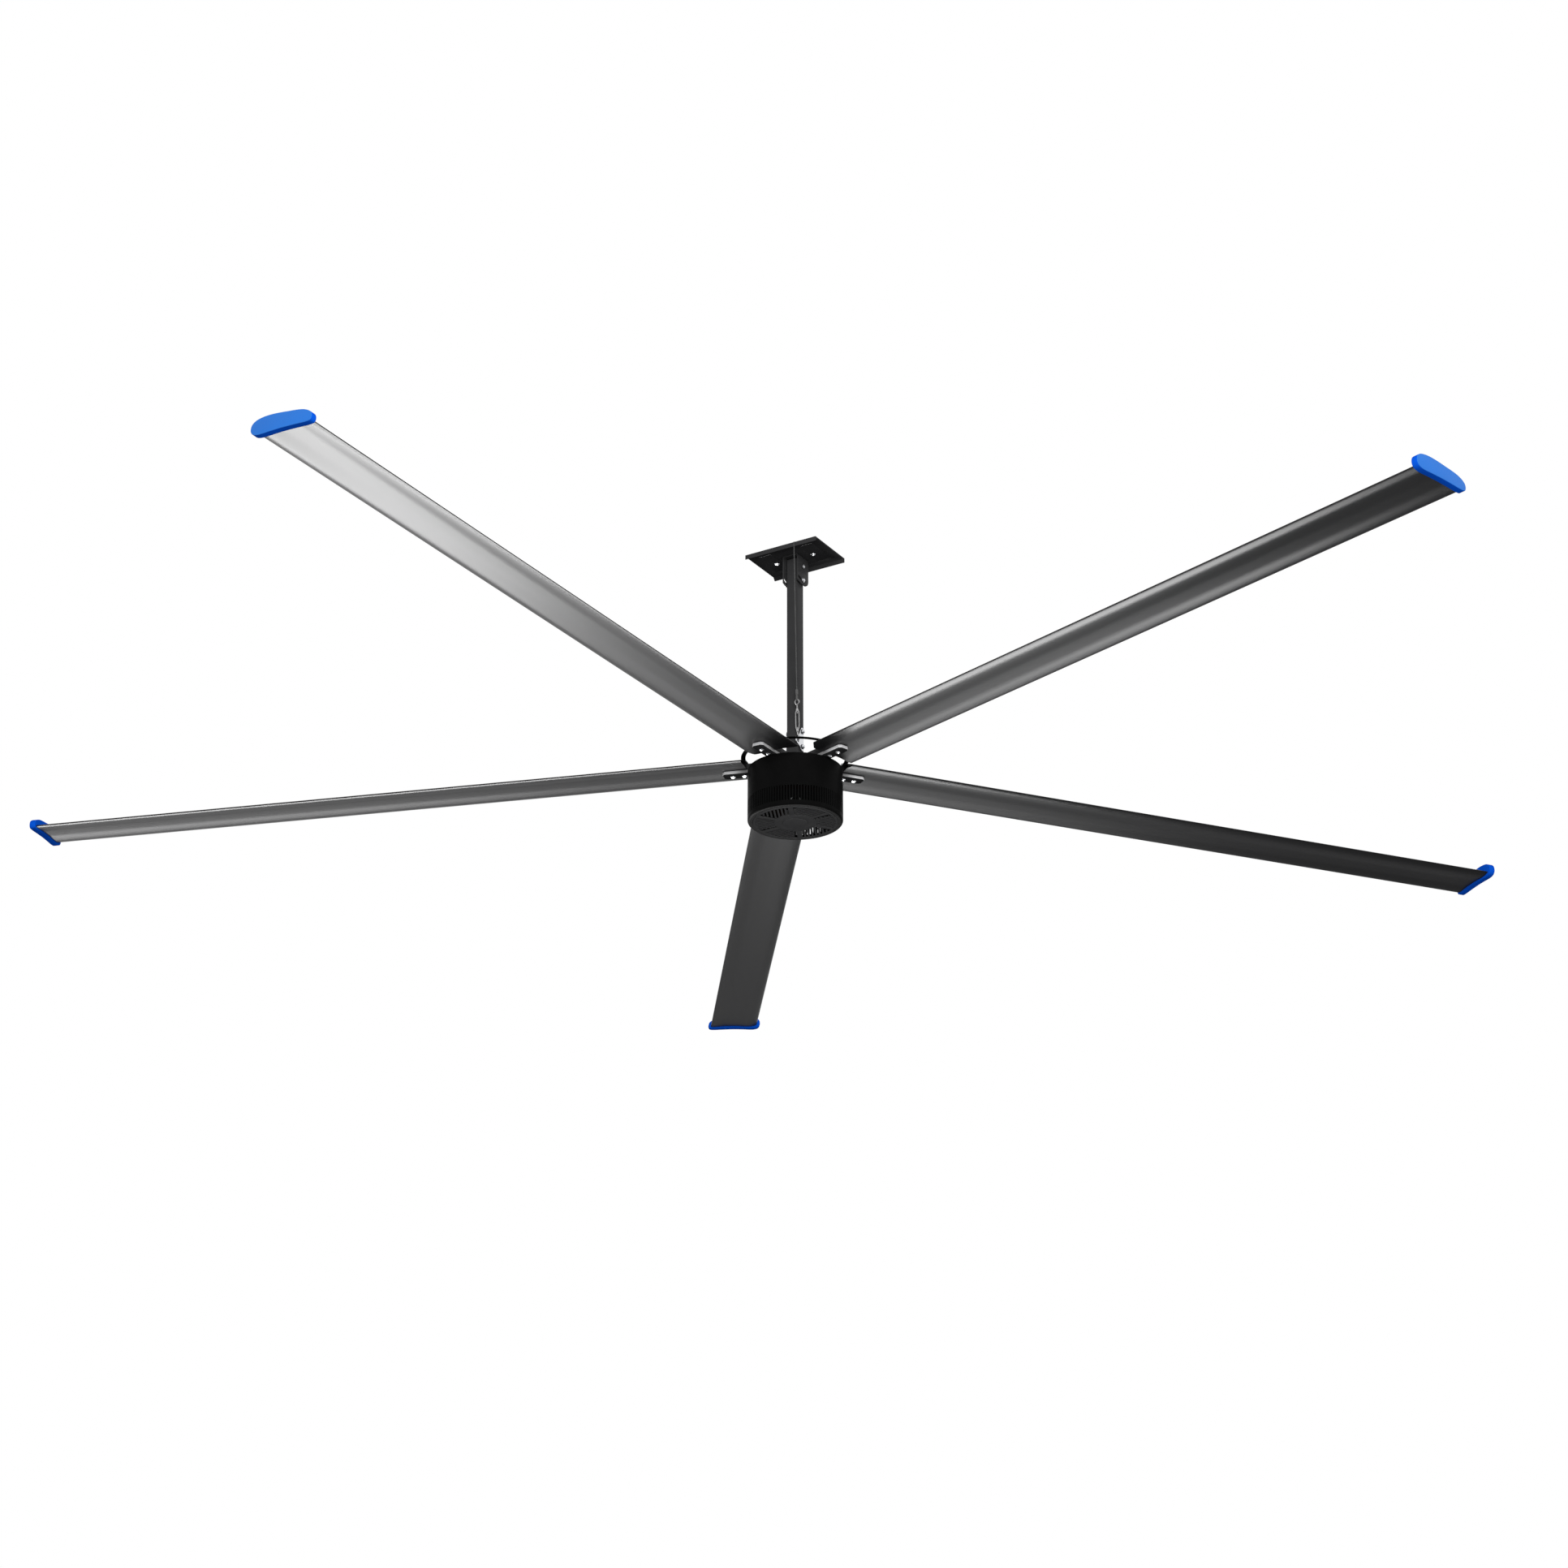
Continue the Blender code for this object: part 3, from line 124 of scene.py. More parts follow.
def vector(tree, x=0.0, y=0.0, z=0.0):
    return add(tree, "ShaderNodeCombineXYZ", {"X": x, "Y": y, "Z": z})


def axes(tree, places):
    """The X, Y and Z of a vector, as three outputs."""
    return tuple(add(tree, "ShaderNodeSeparateXYZ", {"Vector": places}).outputs)


def vary_colour(tree, shader, factor, dark, light):
    mix = add(tree, "ShaderNodeMix", {"Factor": factor}, data_type="RGBA")
    ends = [socket for socket in mix.inputs if socket.type == "RGBA"]
    for socket, colour in zip(ends, (dark, light)):
        socket.default_value = (*colour, 1.0)
    mixed = next(socket for socket in mix.outputs if socket.type == "RGBA")
    feed(tree, mixed, shader.inputs["Base Color"])


# %% [markdown]
# ## Studio
# A white surround lights the fan evenly, and a pale floor lies under it. Three soft lamps give the long
# sheens that run along the blades: one stands at the left, behind the fan, and two lie low under it. Lamps
# as large as these have soft edges, so a sheen fades along a blade by itself. A fourth lamp stands in
# front, and only lights: the fan doesn't mirror it.

# %% White surround
SURROUND_ON_OBJECT = 0.40


def seen_rays(tree):
    """One for the rays that show a thing or its mirror image, zero for those that carry its light."""
    ray = add(tree, "ShaderNodeLightPath").outputs
    seen = calc(tree, "MAXIMUM", ray["Is Camera Ray"], ray["Is Glossy Ray"])
    return calc(tree, "MAXIMUM", seen, ray["Is Transmission Ray"])


def white_surround():
    world = bpy.data.worlds.new("white surround")
    bpy.context.scene.world = world
    world.use_nodes = True
    tree = world.node_tree
    background = tree.nodes["Background"].inputs
    background["Color"].default_value = (1.0, 1.0, 1.0, 1.0)
    strength = add(tree, "ShaderNodeMapRange", {"Value": seen_rays(tree), "To Min": SURROUND_ON_OBJECT})
    feed(tree, strength, background["Strength"])


white_surround()

# %% Pale floor, seen from above only
FLOOR_HEIGHT = -5.0
FLOOR_RADIUS = 40.0
FLOOR_SIDES = 64
FLOOR_SEEN = (0.62, 0.62, 0.63)
FLOOR_ON_OBJECT = (0.45, 0.45, 0.46)


def pale_floor():
    shape = bmesh.new()
    bmesh.ops.create_circle(shape, cap_ends=True, segments=FLOOR_SIDES, radius=FLOOR_RADIUS)
    mesh = bpy.data.meshes.new("floor")
    shape.to_mesh(mesh)
    shape.free()
    floor = bpy.data.objects.new("floor", mesh)
    floor.location.z = FLOOR_HEIGHT
    scene_objects.link(floor)
    look = bpy.data.materials.new("pale floor")
    look.use_nodes = True
    tree = look.node_tree
    shader = tree.nodes["Principled BSDF"]
    vary_colour(tree, shader, seen_rays(tree), FLOOR_ON_OBJECT, FLOOR_SEEN)
    shader.inputs["Roughness"].default_value = 0.9
    shader.inputs["Specular IOR Level"].default_value = 0.0
    from_below = add(tree, "ShaderNodeNewGeometry").outputs["Backfacing"]
    clear = add(tree, "ShaderNodeBsdfTransparent")
    either = add(tree, "ShaderNodeMixShader", {0: from_below, 1: shader, 2: clear})
    feed(tree, either, tree.nodes["Material Output"].inputs["Surface"])
    mesh.materials.append(look)


pale_floor()

# %% Soft lamps
HUB = Vector((0.0, 0.0, joints["rotor_spin"]["pos_m"][2]))
LEFT_PLACE = Vector((-5.1, 2.0, -3.9))
LEFT_SIZE = (4.2, 2.0)
LEFT_FACING = Vector((1.0, -1.0, 0.0))
LEFT_ROLL = radians(20)
LOW_PLACE = Vector((-2.0, 2.6, -4.9))
LOW_SIZE = (3.4, 3.0)
FAR_PLACE = Vector((-3.4, 6.6, -4.9))
FAR_SIZE = (3.2, 2.0)
FRONT_PLACE = Vector((6.0, -8.0, -0.6))
FRONT_SIZE = (5.0, 5.0)
AIM_ASIDE = 0.01


def over(place):
    """A point over a lamp at the blades' height. It stands a hair aside, which settles the lamp's roll."""
    return Vector((place.x, place.y + AIM_ASIDE, HUB.z))


def softbox(name, place, size, aim, radiance, roll=0.0, sheen=True):
    """A rectangular lamp that makes sheens, or else only lights. Its power gives the wanted radiance."""
    lamp = bpy.data.lights.new(name, "AREA")
    lamp.shape = "RECTANGLE"
    lamp.size, lamp.size_y = size
    lamp.energy = radiance * pi * size[0] * size[1]
    made = bpy.data.objects.new(name, lamp)
    made.location = place
    turn = (aim - made.location).to_track_quat("-Z", "Y").to_matrix().to_4x4()
    made.rotation_euler = (turn @ Matrix.Rotation(roll, 4, "Z")).to_euler()
    made.visible_camera = False
    made.visible_diffuse = not sheen
    made.visible_glossy = sheen
    scene_objects.link(made)
    print(name, "stands", round((made.location - aim).length, 1), "m from what it lights")


softbox("left softbox", LEFT_PLACE, LEFT_SIZE, LEFT_PLACE + LEFT_FACING, radiance=26.0, roll=LEFT_ROLL)
softbox("low softbox", LOW_PLACE, LOW_SIZE, over(LOW_PLACE), radiance=32.0)
softbox("far low softbox", FAR_PLACE, FAR_SIZE, over(FAR_PLACE), radiance=2.5)
softbox("front softbox", FRONT_PLACE, FRONT_SIZE, HUB, radiance=11.0, sheen=False)

# %% [markdown]
# ## Shapes
# Almost every part of the fan is a flat outline with some thickness, a turned shape, or a bent wire. A 2D
# curve makes the first: it fills its outlines, takes holes that run the other way round, and rounds its
# edges by itself. A mesh line with a Screw modifier makes the second, and a curve with a bevel the third.

# %% Helpers for meshes
MERGE_DISTANCE = 0.000001
FLAT_ANGLE = radians(1)
SMOOTH_ANGLE = radians(32)


def stood_in(name, data, matrix=Matrix.Identity(4)):
    made = bpy.data.objects.new(name, data)
    scene_objects.link(made)
    made.matrix_world = matrix
    return made


def plain_mesh(made):
    """The object's evaluated mesh, with its place in it. The object is removed."""
    bpy.context.view_layer.update()
    graph = bpy.context.evaluated_depsgraph_get()
    mesh = bpy.data.meshes.new_from_object(made.evaluated_get(graph), depsgraph=graph)
    mesh.transform(made.matrix_world)
    bpy.data.objects.remove(made, do_unlink=True)
    return mesh


def welded(mesh, flat=False):
    """The mesh with its doubles merged. With flat, a flat run of triangles also becomes one face."""
    shape = bmesh.new()
    shape.from_mesh(mesh)
    bmesh.ops.remove_doubles(shape, verts=shape.verts, dist=MERGE_DISTANCE)
    if flat:
        bmesh.ops.dissolve_limit(shape, angle_limit=FLAT_ANGLE, verts=shape.verts, edges=shape.edges)
    shape.to_mesh(mesh)
    shape.free()
    return mesh


def painted(mesh, *looks):
    mesh.materials.clear()
    for look in looks:
        mesh.materials.append(look)
    return mesh


def joined(*meshes):
    """One mesh of all, which keeps the finish that each of them has."""
    looks = []
    shape = bmesh.new()
    for mesh in meshes:
        for look in mesh.materials:
            if look not in looks:
                looks.append(look)
        for face in mesh.polygons:
            if mesh.materials:
                face.material_index = looks.index(mesh.materials[face.material_index])
        shape.from_mesh(mesh)
    whole = bpy.data.meshes.new("joined")
    shape.to_mesh(whole)
    shape.free()
    for look in looks:
        whole.materials.append(look)
    return whole


def finished(name, mesh, look, body, slot, *nodes):
    """Puts a mesh in the scene as a piece that rides on a body and stands for the named solids."""
    if look is not None:
        painted(mesh, look)
    mesh.shade_smooth()
    mesh.set_sharp_from_angle(angle=SMOOTH_ANGLE)
    piece = stood_in(name, mesh)
    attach(piece, body)
    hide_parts(*nodes)
    print(name, "has", len(mesh.polygons), "faces")


# %% Helpers for outlines, counter-clockwise, and holes, clockwise
def arc(centre, radius, start, end, steps):
    angles = [start + (end - start) * step / steps for step in range(steps + 1)]
    return [(centre[0] + radius * cos(angle), centre[1] + radius * sin(angle)) for angle in angles]


def circle(radius, sides, centre=(0.0, 0.0)):
    return arc(centre, radius, 0.0, tau * (sides - 1) / sides, sides - 1)


def hole(outline):
    return list(reversed(outline))


def smooth_loop(places, steps):
    """A closed curve through the places that doesn't overshoot between near ones (centripetal)."""
    loop = []
    count = len(places)
    for index in range(count):
        near = [Vector(places[(index + shift) % count]) for shift in (-1, 0, 1, 2)]
        knots = [0.0]
        for first, second in zip(near, near[1:]):
            knots.append(knots[-1] + (second - first).length ** 0.5)
        for step in range(steps):
            at = knots[1] + (knots[2] - knots[1]) * step / steps
            line = list(near)
            for level in (1, 2, 3):
                line = [((knots[i + level] - at) * line[i] + (at - knots[i]) * line[i + 1])
                        / (knots[i + level] - knots[i]) for i in range(4 - level)]
            loop.append(tuple(line[0]))
    return loop


def curve(outlines, flat=True, cyclic=True):
    made = bpy.data.curves.new("outline", "CURVE")
    made.dimensions = "2D" if flat else "3D"
    for outline in outlines:
        spline = made.splines.new("POLY")
        spline.points.add(len(outline) - 1)
        for point, place in zip(spline.points, outline):
            point.co = (*place, 0.0, 1.0) if flat else (*place, 1.0)
        spline.use_cyclic_u = cyclic
    return made


def sheet(outlines, low, high, rounding=0.0, matrix=Matrix.Identity(4), segments=2):
    """A flat piece from low to high whose edges may be rounded. Later outlines are holes, clockwise."""
    made = curve(outlines)
    made.fill_mode = "BOTH"
    made.extrude = (high - low) / 2 - rounding
    made.bevel_depth = rounding
    made.bevel_resolution = segments
    made.offset = -rounding
    middle = matrix @ Matrix.Translation((0.0, 0.0, (low + high) / 2))
    return welded(plain_mesh(stood_in("sheet", made, middle)))


def wire(points, radius, sides=12, cyclic=False, matrix=Matrix.Identity(4)):
    made = curve([points], flat=False, cyclic=cyclic)
    made.bevel_depth = radius
    made.bevel_resolution = sides // 4
    made.use_fill_caps = True
    return welded(plain_mesh(stood_in("wire", made, matrix)))


def turned(profile, steps, closed=True, matrix=Matrix.Identity(4)):
    """Turns (radius, height) points, which run down the outer side first."""
    shape = bmesh.new()
    corners = [shape.verts.new((radius, 0.0, height)) for radius, height in profile]
    pairs = list(zip(corners, corners[1:])) + ([(corners[-1], corners[0])] if closed else [])
    for pair in pairs:
        shape.edges.new(pair)
    mesh = bpy.data.meshes.new("profile")
    shape.to_mesh(mesh)
    shape.free()
    made = stood_in("turned", mesh, matrix)
    screw = made.modifiers.new("turn", "SCREW")
    screw.steps = steps
    screw.render_steps = steps
    screw.use_merge_vertices = True
    screw.merge_threshold = MERGE_DISTANCE
    return welded(plain_mesh(made))


# Outlines drawn as (y, z) stand up with this turn, with their thickness along X
ACROSS_X = Matrix(((0, 0, 1, 0), (1, 0, 0, 0), (0, 1, 0, 0), (0, 0, 0, 1)))
# Outlines drawn as (x, z) have their thickness along Y
ACROSS_Y = Matrix(((1, 0, 0, 0), (0, 0, -1, 0), (0, 1, 0, 0), (0, 0, 0, 1)))

# %% Edges rounded, on a mesh or on a solid's own shape
ROUNDED_ANGLE = radians(40)


def rounded(mesh, width, segments=3):
    made = stood_in("rounded", mesh)
    bevel = made.modifiers.new("edge", "BEVEL")
    bevel.width = width
    bevel.segments = segments
    bevel.limit_method = "ANGLE"
    bevel.angle_limit = ROUNDED_ANGLE
    return plain_mesh(made)


def softened(node, width):
    """A merged copy of a solid's mesh whose flat sides are single faces and whose edges are rounded."""
    return rounded(welded(frame["nodes"][node].data.copy(), flat=True), width)


# %% [markdown]
# ## Finishes
# Each finish is a Principled shader whose colour, roughness and bump vary a little, at the scale at which
# the real surface does: the orange peel of powder coat is under a millimetre, the die lines of an
# extrusion run its whole length, and a zinc coat has pale and dark grains. The patterns read Object
# coordinates, in metres, so that they have the same size on every piece. Most finishes differ only in
# their numbers, so one function makes them.

# %% Helpers for finishes
def new_finish(name, metallic=0.0, specular=0.0):
    look = bpy.data.materials.new(name)
    look.use_nodes = True
    shader = look.node_tree.nodes["Principled BSDF"]
    shader.inputs["Metallic"].default_value = metallic
    shader.inputs["Specular IOR Level"].default_value = specular
    return look, look.node_tree, shader


def object_places(tree, scale=(1.0, 1.0, 1.0)):
    places = add(tree, "ShaderNodeTexCoord").outputs["Object"]
    return add(tree, "ShaderNodeMapping", {"Vector": places, "Scale": scale})


def noise(tree, places, per_metre, detail=3.0):
    return add(tree, "ShaderNodeTexNoise", {"Vector": places, "Scale": per_metre, "Detail": detail})


def vary_roughness(tree, shader, factor, low, high):
    span = add(tree, "ShaderNodeMapRange", {"Value": factor, "To Min": low, "To Max": high})
    feed(tree, span, shader.inputs["Roughness"])


def bump(tree, shader, height, depth, strength=0.5):
    made = add(tree, "ShaderNodeBump", {"Height": height, "Distance": depth, "Strength": strength})
    feed(tree, made, shader.inputs["Normal"])


PEEL_DETAIL = 2.0


def speckled(name, tones, clouds, roughness, spots, peel=None, metallic=0.0, specular=0.0):
    """Colour varies in so many clouds per metre and roughness in so many spots per metre.

    The peel is its grains per metre, their depth and how strongly they show."""
    look, tree, shader = new_finish(name, metallic, specular)
    places = object_places(tree)
    vary_colour(tree, shader, noise(tree, places, clouds), *tones)
    vary_roughness(tree, shader, noise(tree, places, spots), *roughness)
    if peel:
        grains, depth, strength = peel
        bump(tree, shader, noise(tree, places, grains, PEEL_DETAIL), depth, strength)
    return look


def greys(dark, light):
    return (dark, dark, dark), (light, light, light)


# %% Charcoal powder coat, on the mount, tube and brackets
COAT = {"tones": ((0.032, 0.032, 0.033), (0.044, 0.044, 0.045)), "clouds": 14.0,
        "roughness": (0.28, 0.38), "spots": 160.0, "peel": (1300.0, 0.00012, 0.35)}
CHARCOAL = speckled("charcoal powder coat", specular=0.03, **COAT)
MATTE = speckled("matte charcoal coat", **COAT)

# %% Black paint on the motor housing, and dark paint on its grille
PAINT_PEEL = (1100.0, 0.0001, 0.3)
BLACK = speckled("black motor paint", greys(0.003, 0.006), clouds=20.0, roughness=(0.34, 0.46),
                 spots=220.0, peel=PAINT_PEEL, specular=0.01)
GRILLE = speckled("dark grille paint", ((0.080, 0.080, 0.080), (0.100, 0.100, 0.101)), clouds=30.0,
                  roughness=(0.42, 0.56), spots=200.0, peel=PAINT_PEEL)


# %% Dark anodised extrusion, with die lines along the blade
ANODISED_TONES = ((0.013, 0.013, 0.0135), (0.017, 0.017, 0.018))
ANODISED_ROUGHNESS = (0.27, 0.29)
LINE_SCALE = (0.25, 70.0, 70.0)
CLOUD_SCALE = (1.2, 6.0, 6.0)
LINE_DEPTH = 0.000003
LINE_STRENGTH = 0.05


def anodised_blade():
    """The patterns are stretched along the blade, so they read the places that each point keeps."""
    look, tree, shader = new_finish("dark anodised extrusion", specular=0.10)

    def stretched(scale, detail):
        kept = add(tree, "ShaderNodeAttribute", attribute_name="grain").outputs["Vector"]
        places = add(tree, "ShaderNodeMapping", {"Vector": kept, "Scale": scale})
        return noise(tree, places, 1.0, detail)

    lines = stretched(LINE_SCALE, 1.0)
    clouds = stretched(CLOUD_SCALE, 2.0)
    blend = calc(tree, "MULTIPLY", calc(tree, "ADD", lines, clouds), 0.5)
    vary_colour(tree, shader, blend, *ANODISED_TONES)
    vary_roughness(tree, shader, blend, *ANODISED_ROUGHNESS)
    bump(tree, shader, lines, LINE_DEPTH, LINE_STRENGTH)
    return look


ANODISED = anodised_blade()

# %% Blue moulded plastic, on the end caps: one plastic, lighter on the face as a painted sheen and deeper on the sides as painted shade
PLASTIC = {"clouds": 9.0, "roughness": (0.26, 0.38), "spots": 90.0, "peel": (900.0, 0.00002, 0.15)}
SHEEN_FACE_BLUE = speckled("blue moulded plastic", ((0.016, 0.145, 0.540), (0.024, 0.172, 0.620)), specular=0.15,
                **PLASTIC)
SHADED_RIM_BLUE = speckled("deep blue plastic rim", ((0.003, 0.085, 0.620), (0.004, 0.100, 0.700)), **PLASTIC)

# %% Bright zinc, on bolts and cable hardware
ZINC_TONES = ((0.62, 0.63, 0.65), (0.76, 0.77, 0.79))
ZINC_ROUGHNESS = (0.20, 0.34)
ZINC_CRYSTALS = 420.0
ZINC_SPOTS = 350.0
ZINC_GRAINS = 1500.0
ZINC_PEEL_DEPTH = 0.00005
ZINC_PEEL_STRENGTH = 0.3


def bright_zinc():
    look, tree, shader = new_finish("bright zinc", metallic=1.0, specular=0.5)
    places = object_places(tree)
    crystals = add(tree, "ShaderNodeTexVoronoi", {"Vector": places, "Scale": ZINC_CRYSTALS})
    vary_colour(tree, shader, crystals.outputs["Distance"], *ZINC_TONES)
    vary_roughness(tree, shader, noise(tree, places, ZINC_SPOTS), *ZINC_ROUGHNESS)
    grains = noise(tree, places, ZINC_GRAINS, PEEL_DETAIL)
    bump(tree, shader, grains, ZINC_PEEL_DEPTH, ZINC_PEEL_STRENGTH)
    return look


ZINC = bright_zinc()

# %% Dull galvanised wire, on the rope and the turnbuckle
GALVANISED = {"clouds": 700.0, "roughness": (0.40, 0.55), "spots": 500.0, "metallic": 1.0, "specular": 0.5}
ROPE = speckled("wire rope", greys(0.10, 0.18), **GALVANISED)
WIRE = speckled("galvanised wire", greys(0.40, 0.58), **GALVANISED)

# %% Painted sheen on the sides of the brackets: bright towards their outer ends, dark as painted shade towards the drum
SHEEN_START_RADIUS = 0.150
SHEEN_FULL_RADIUS = 0.196
SHEEN_SIDE_TONES = ((0.03, 0.03, 0.03), (0.95, 0.95, 0.96))
SHEEN_SIDE_ROUGHNESS = (0.26, 0.38)
SHEEN_SIDE_SPOTS = 400.0
LEAST_SHEEN_SHARE = 0.25
PATCHES = 260.0
PATCH_SPAN_SHARE = 0.3
PATCH_LOW_SHARE = 0.8


def painted_sheen_sides():
    look, tree, shader = new_finish("worn bracket sides", metallic=0.1, specular=0.3)
    places = object_places(tree)
    from_axis = add(tree, "ShaderNodeVectorMath", {"Vector": object_places(tree, (1.0, 1.0, 0.0))},
                    operation="LENGTH").outputs["Value"]
    # Painted sheen: the sides run from dark, painted shade near the drum, to bright towards the outer end, in
    # patches
    sheen_share = add(tree, "ShaderNodeMapRange", {"Value": from_axis, "From Min": SHEEN_START_RADIUS,
                                            "From Max": SHEEN_FULL_RADIUS, "To Min": LEAST_SHEEN_SHARE},
               interpolation_type="SMOOTHSTEP")
    patches = calc(tree, "MULTIPLY_ADD", noise(tree, places, PATCHES), PATCH_SPAN_SHARE, PATCH_LOW_SHARE)
    vary_colour(tree, shader, calc(tree, "MULTIPLY", sheen_share, patches), *SHEEN_SIDE_TONES)
    vary_roughness(tree, shader, noise(tree, places, SHEEN_SIDE_SPOTS), *SHEEN_SIDE_ROUGHNESS)
    return look


SHEEN_SIDES = painted_sheen_sides()

# %% Sawn ends of the extrusion
SAWN = speckled("sawn extrusion end", ((0.012, 0.012, 0.012), (0.026, 0.026, 0.027)), clouds=400.0,
                roughness=(0.50, 0.65), spots=600.0)


# %% Machined steel, laminated iron, copper and magnets, inside the motor, darkened as painted shade
CUT_SCALE = (60.0, 60.0, 2400.0)
CUT_DEPTH = 0.00003
CUT_ROUGHNESS = (0.22, 0.36)
IRON_LAYER_DEPTH = 0.0001
COPPER_TURN_DEPTH = 0.0004


def machined_steel():
    look, tree, shader = new_finish("machined steel", metallic=1.0, specular=0.5)
    cuts = noise(tree, object_places(tree, CUT_SCALE), 1.0)
    vary_colour(tree, shader, cuts, (0.06, 0.06, 0.062), (0.10, 0.10, 0.103))
    vary_roughness(tree, shader, cuts, *CUT_ROUGHNESS)
    bump(tree, shader, cuts, CUT_DEPTH)
    return look


def layered(name, tones, roughness, per_metre, distortion, depth):
    """Thin sheets or turns of wire that lie on each other along Z."""
    look, tree, shader = new_finish(name)
    layers = add(tree, "ShaderNodeTexWave", {"Vector": object_places(tree), "Scale": per_metre,
                                             "Distortion": distortion}, bands_direction="Z").outputs["Fac"]
    vary_colour(tree, shader, layers, *tones)
    vary_roughness(tree, shader, layers, *roughness)
    bump(tree, shader, layers, depth)
    return look


# These four colours are far darker than the metals' own: painted shade inside the drum
STEEL = machined_steel()
IRON = layered("laminated iron", ((0.012, 0.012, 0.0125), (0.025, 0.025, 0.026)), (0.40, 0.60),
               per_metre=320.0, distortion=0.3, depth=IRON_LAYER_DEPTH)
COPPER = layered("varnished copper", ((0.008, 0.004, 0.003), (0.020, 0.010, 0.006)), (0.28, 0.45),
                 per_metre=190.0, distortion=1.5, depth=COPPER_TURN_DEPTH)
MAGNET = speckled("plated magnets", ((0.02, 0.02, 0.021), (0.035, 0.035, 0.036)), clouds=300.0,
                  roughness=(0.30, 0.48), spots=300.0)
print("finishes:", len(bpy.data.materials))

# %% [markdown]
# ## Geometry Nodes
# A tree is written once, with named inputs for its sizes. It runs on an object as a modifier, whose
# inputs are set before it is first evaluated. The result is then taken as a plain mesh, and the object
# with the modifier goes away.

# %% Helpers for Geometry Nodes
def new_tree(name, **kinds):
    """A tree and its inputs, whose names are given by their kind. The last input is the finish."""
    tree = bpy.data.node_groups.new(name, "GeometryNodeTree")
    tree.is_modifier = True
    for kind, labels in {**kinds, "Material": "Finish"}.items():
        for label in labels.split(", "):
            tree.interface.new_socket(label, in_out="INPUT", socket_type="NodeSocket" + kind)
    tree.interface.new_socket("Geometry", in_out="OUTPUT", socket_type="NodeSocketGeometry")
    return tree, add(tree, "NodeGroupInput").outputs


def end_tree(tree, geometry, finish):
    """Instances become real faces, and every face takes the finish."""
    real = add(tree, "GeometryNodeRealizeInstances", {"Geometry": geometry})
    coated = add(tree, "GeometryNodeSetMaterial", {"Geometry": real, "Material": finish})
    add(tree, "NodeGroupOutput", {"Geometry": coated})
    return tree


def ring_of(tree, geometry, count):
    """So many copies of a shape, turned evenly about the Z axis."""
    centre = add(tree, "GeometryNodeMeshLine", {"Count": 1})
    copies = add(tree, "GeometryNodeDuplicateElements", {"Geometry": centre, "Amount": count}, domain="POINT")
    angle = calc(tree, "MULTIPLY", copies.outputs["Duplicate Index"], calc(tree, "DIVIDE", tau, count))
    return add(tree, "GeometryNodeInstanceOnPoints",
               {"Points": copies, "Instance": geometry, "Rotation": vector(tree, z=angle)})


def grown(tree, values, base=None):
    """The plain mesh that a tree makes from a base mesh, or from nothing, with these inputs."""
    host = stood_in(tree.name, base or bpy.data.meshes.new(tree.name))
    modifier = host.modifiers.new(tree.name, "NODES")
    modifier.node_group = tree
    for item in tree.interface.items_tree:
        if item.item_type == "SOCKET" and item.name in values:
            modifier[item.identifier] = values[item.name]
    return plain_mesh(host)


# %% [markdown]
# ## Blades
# The real blade is an aluminium extrusion: one hollow section with two webs, pushed out to its full
# length. It could be lofted or cut by hand, but it follows a rule, a section and a length, so a tree does
# it: the outline and its cells are filled and extruded, and the leading corner at the root is cut off
# at a slant. Before the blade is turned to its place, each point keeps where it lies along and
# across the blade, so that the die lines follow it.

# %% Blade sizes and section
BLADE_COUNT = 5
FIRST_BLADE_ANGLE = radians(54)
BLADE_ANGLES = [FIRST_BLADE_ANGLE + tau * index / BLADE_COUNT for index in range(BLADE_COUNT)]
BLADE_CHORD = 0.1701
BLADE_ROOT_RADIUS = 0.147
BLADE_END_RADIUS = 2.440
BLADE_WALL = 0.0023
CORNER_CHAMFER = 0.018
# Shares of the chord, from the middle of the bolts: along, then up
UNDER_SHARES = ((0.573, -0.040), (0.294, -0.018), (0.0, -0.006), (-0.265, -0.009), (-0.364, 0.009))
TOP_SHARES = ((-0.427, 0.040), (-0.176, 0.129), (-0.029, 0.160), (0.059, 0.162), (0.206, 0.126),
              (0.353, 0.073), (0.573, -0.021))
WEB_SHARES = ((-0.341, -0.131), (-0.112, 0.112), (0.131, 0.470))
SECTION_STEPS = 6
END_NORMAL_SHARE = 0.5


def chord_places(shares):
    return [(along * BLADE_CHORD, up * BLADE_CHORD) for along, up in shares]


section = smooth_loop(chord_places(TOP_SHARES) + chord_places(UNDER_SHARES), SECTION_STEPS)
top_points = len(TOP_SHARES) * SECTION_STEPS
print("blade section:", len(section), "points")

# %% Hollow cells between the webs
CELL_POINTS = 9


def height_on(points, along):
    """Height of a run of section points at a distance along the chord."""
    ordered = sorted(points)
    for (x0, z0), (x1, z1) in zip(ordered, ordered[1:]):
        if x0 <= along <= x1 and x1 > x0:
            return z0 + (z1 - z0) * (along - x0) / (x1 - x0)
    return ordered[-1][1]


def cell(start, end):
    steps = [start + (end - start) * step / CELL_POINTS for step in range(CELL_POINTS + 1)]
    roof = section[:top_points - SECTION_STEPS + 1]
    floor = section[top_points:] + section[:1]
    lower = [(along, height_on(floor, along) + BLADE_WALL) for along in steps]
    upper = [(along, height_on(roof, along) - BLADE_WALL) for along in reversed(steps)]
    return lower + upper


cells = [cell(start * BLADE_CHORD, end * BLADE_CHORD) for start, end in WEB_SHARES]

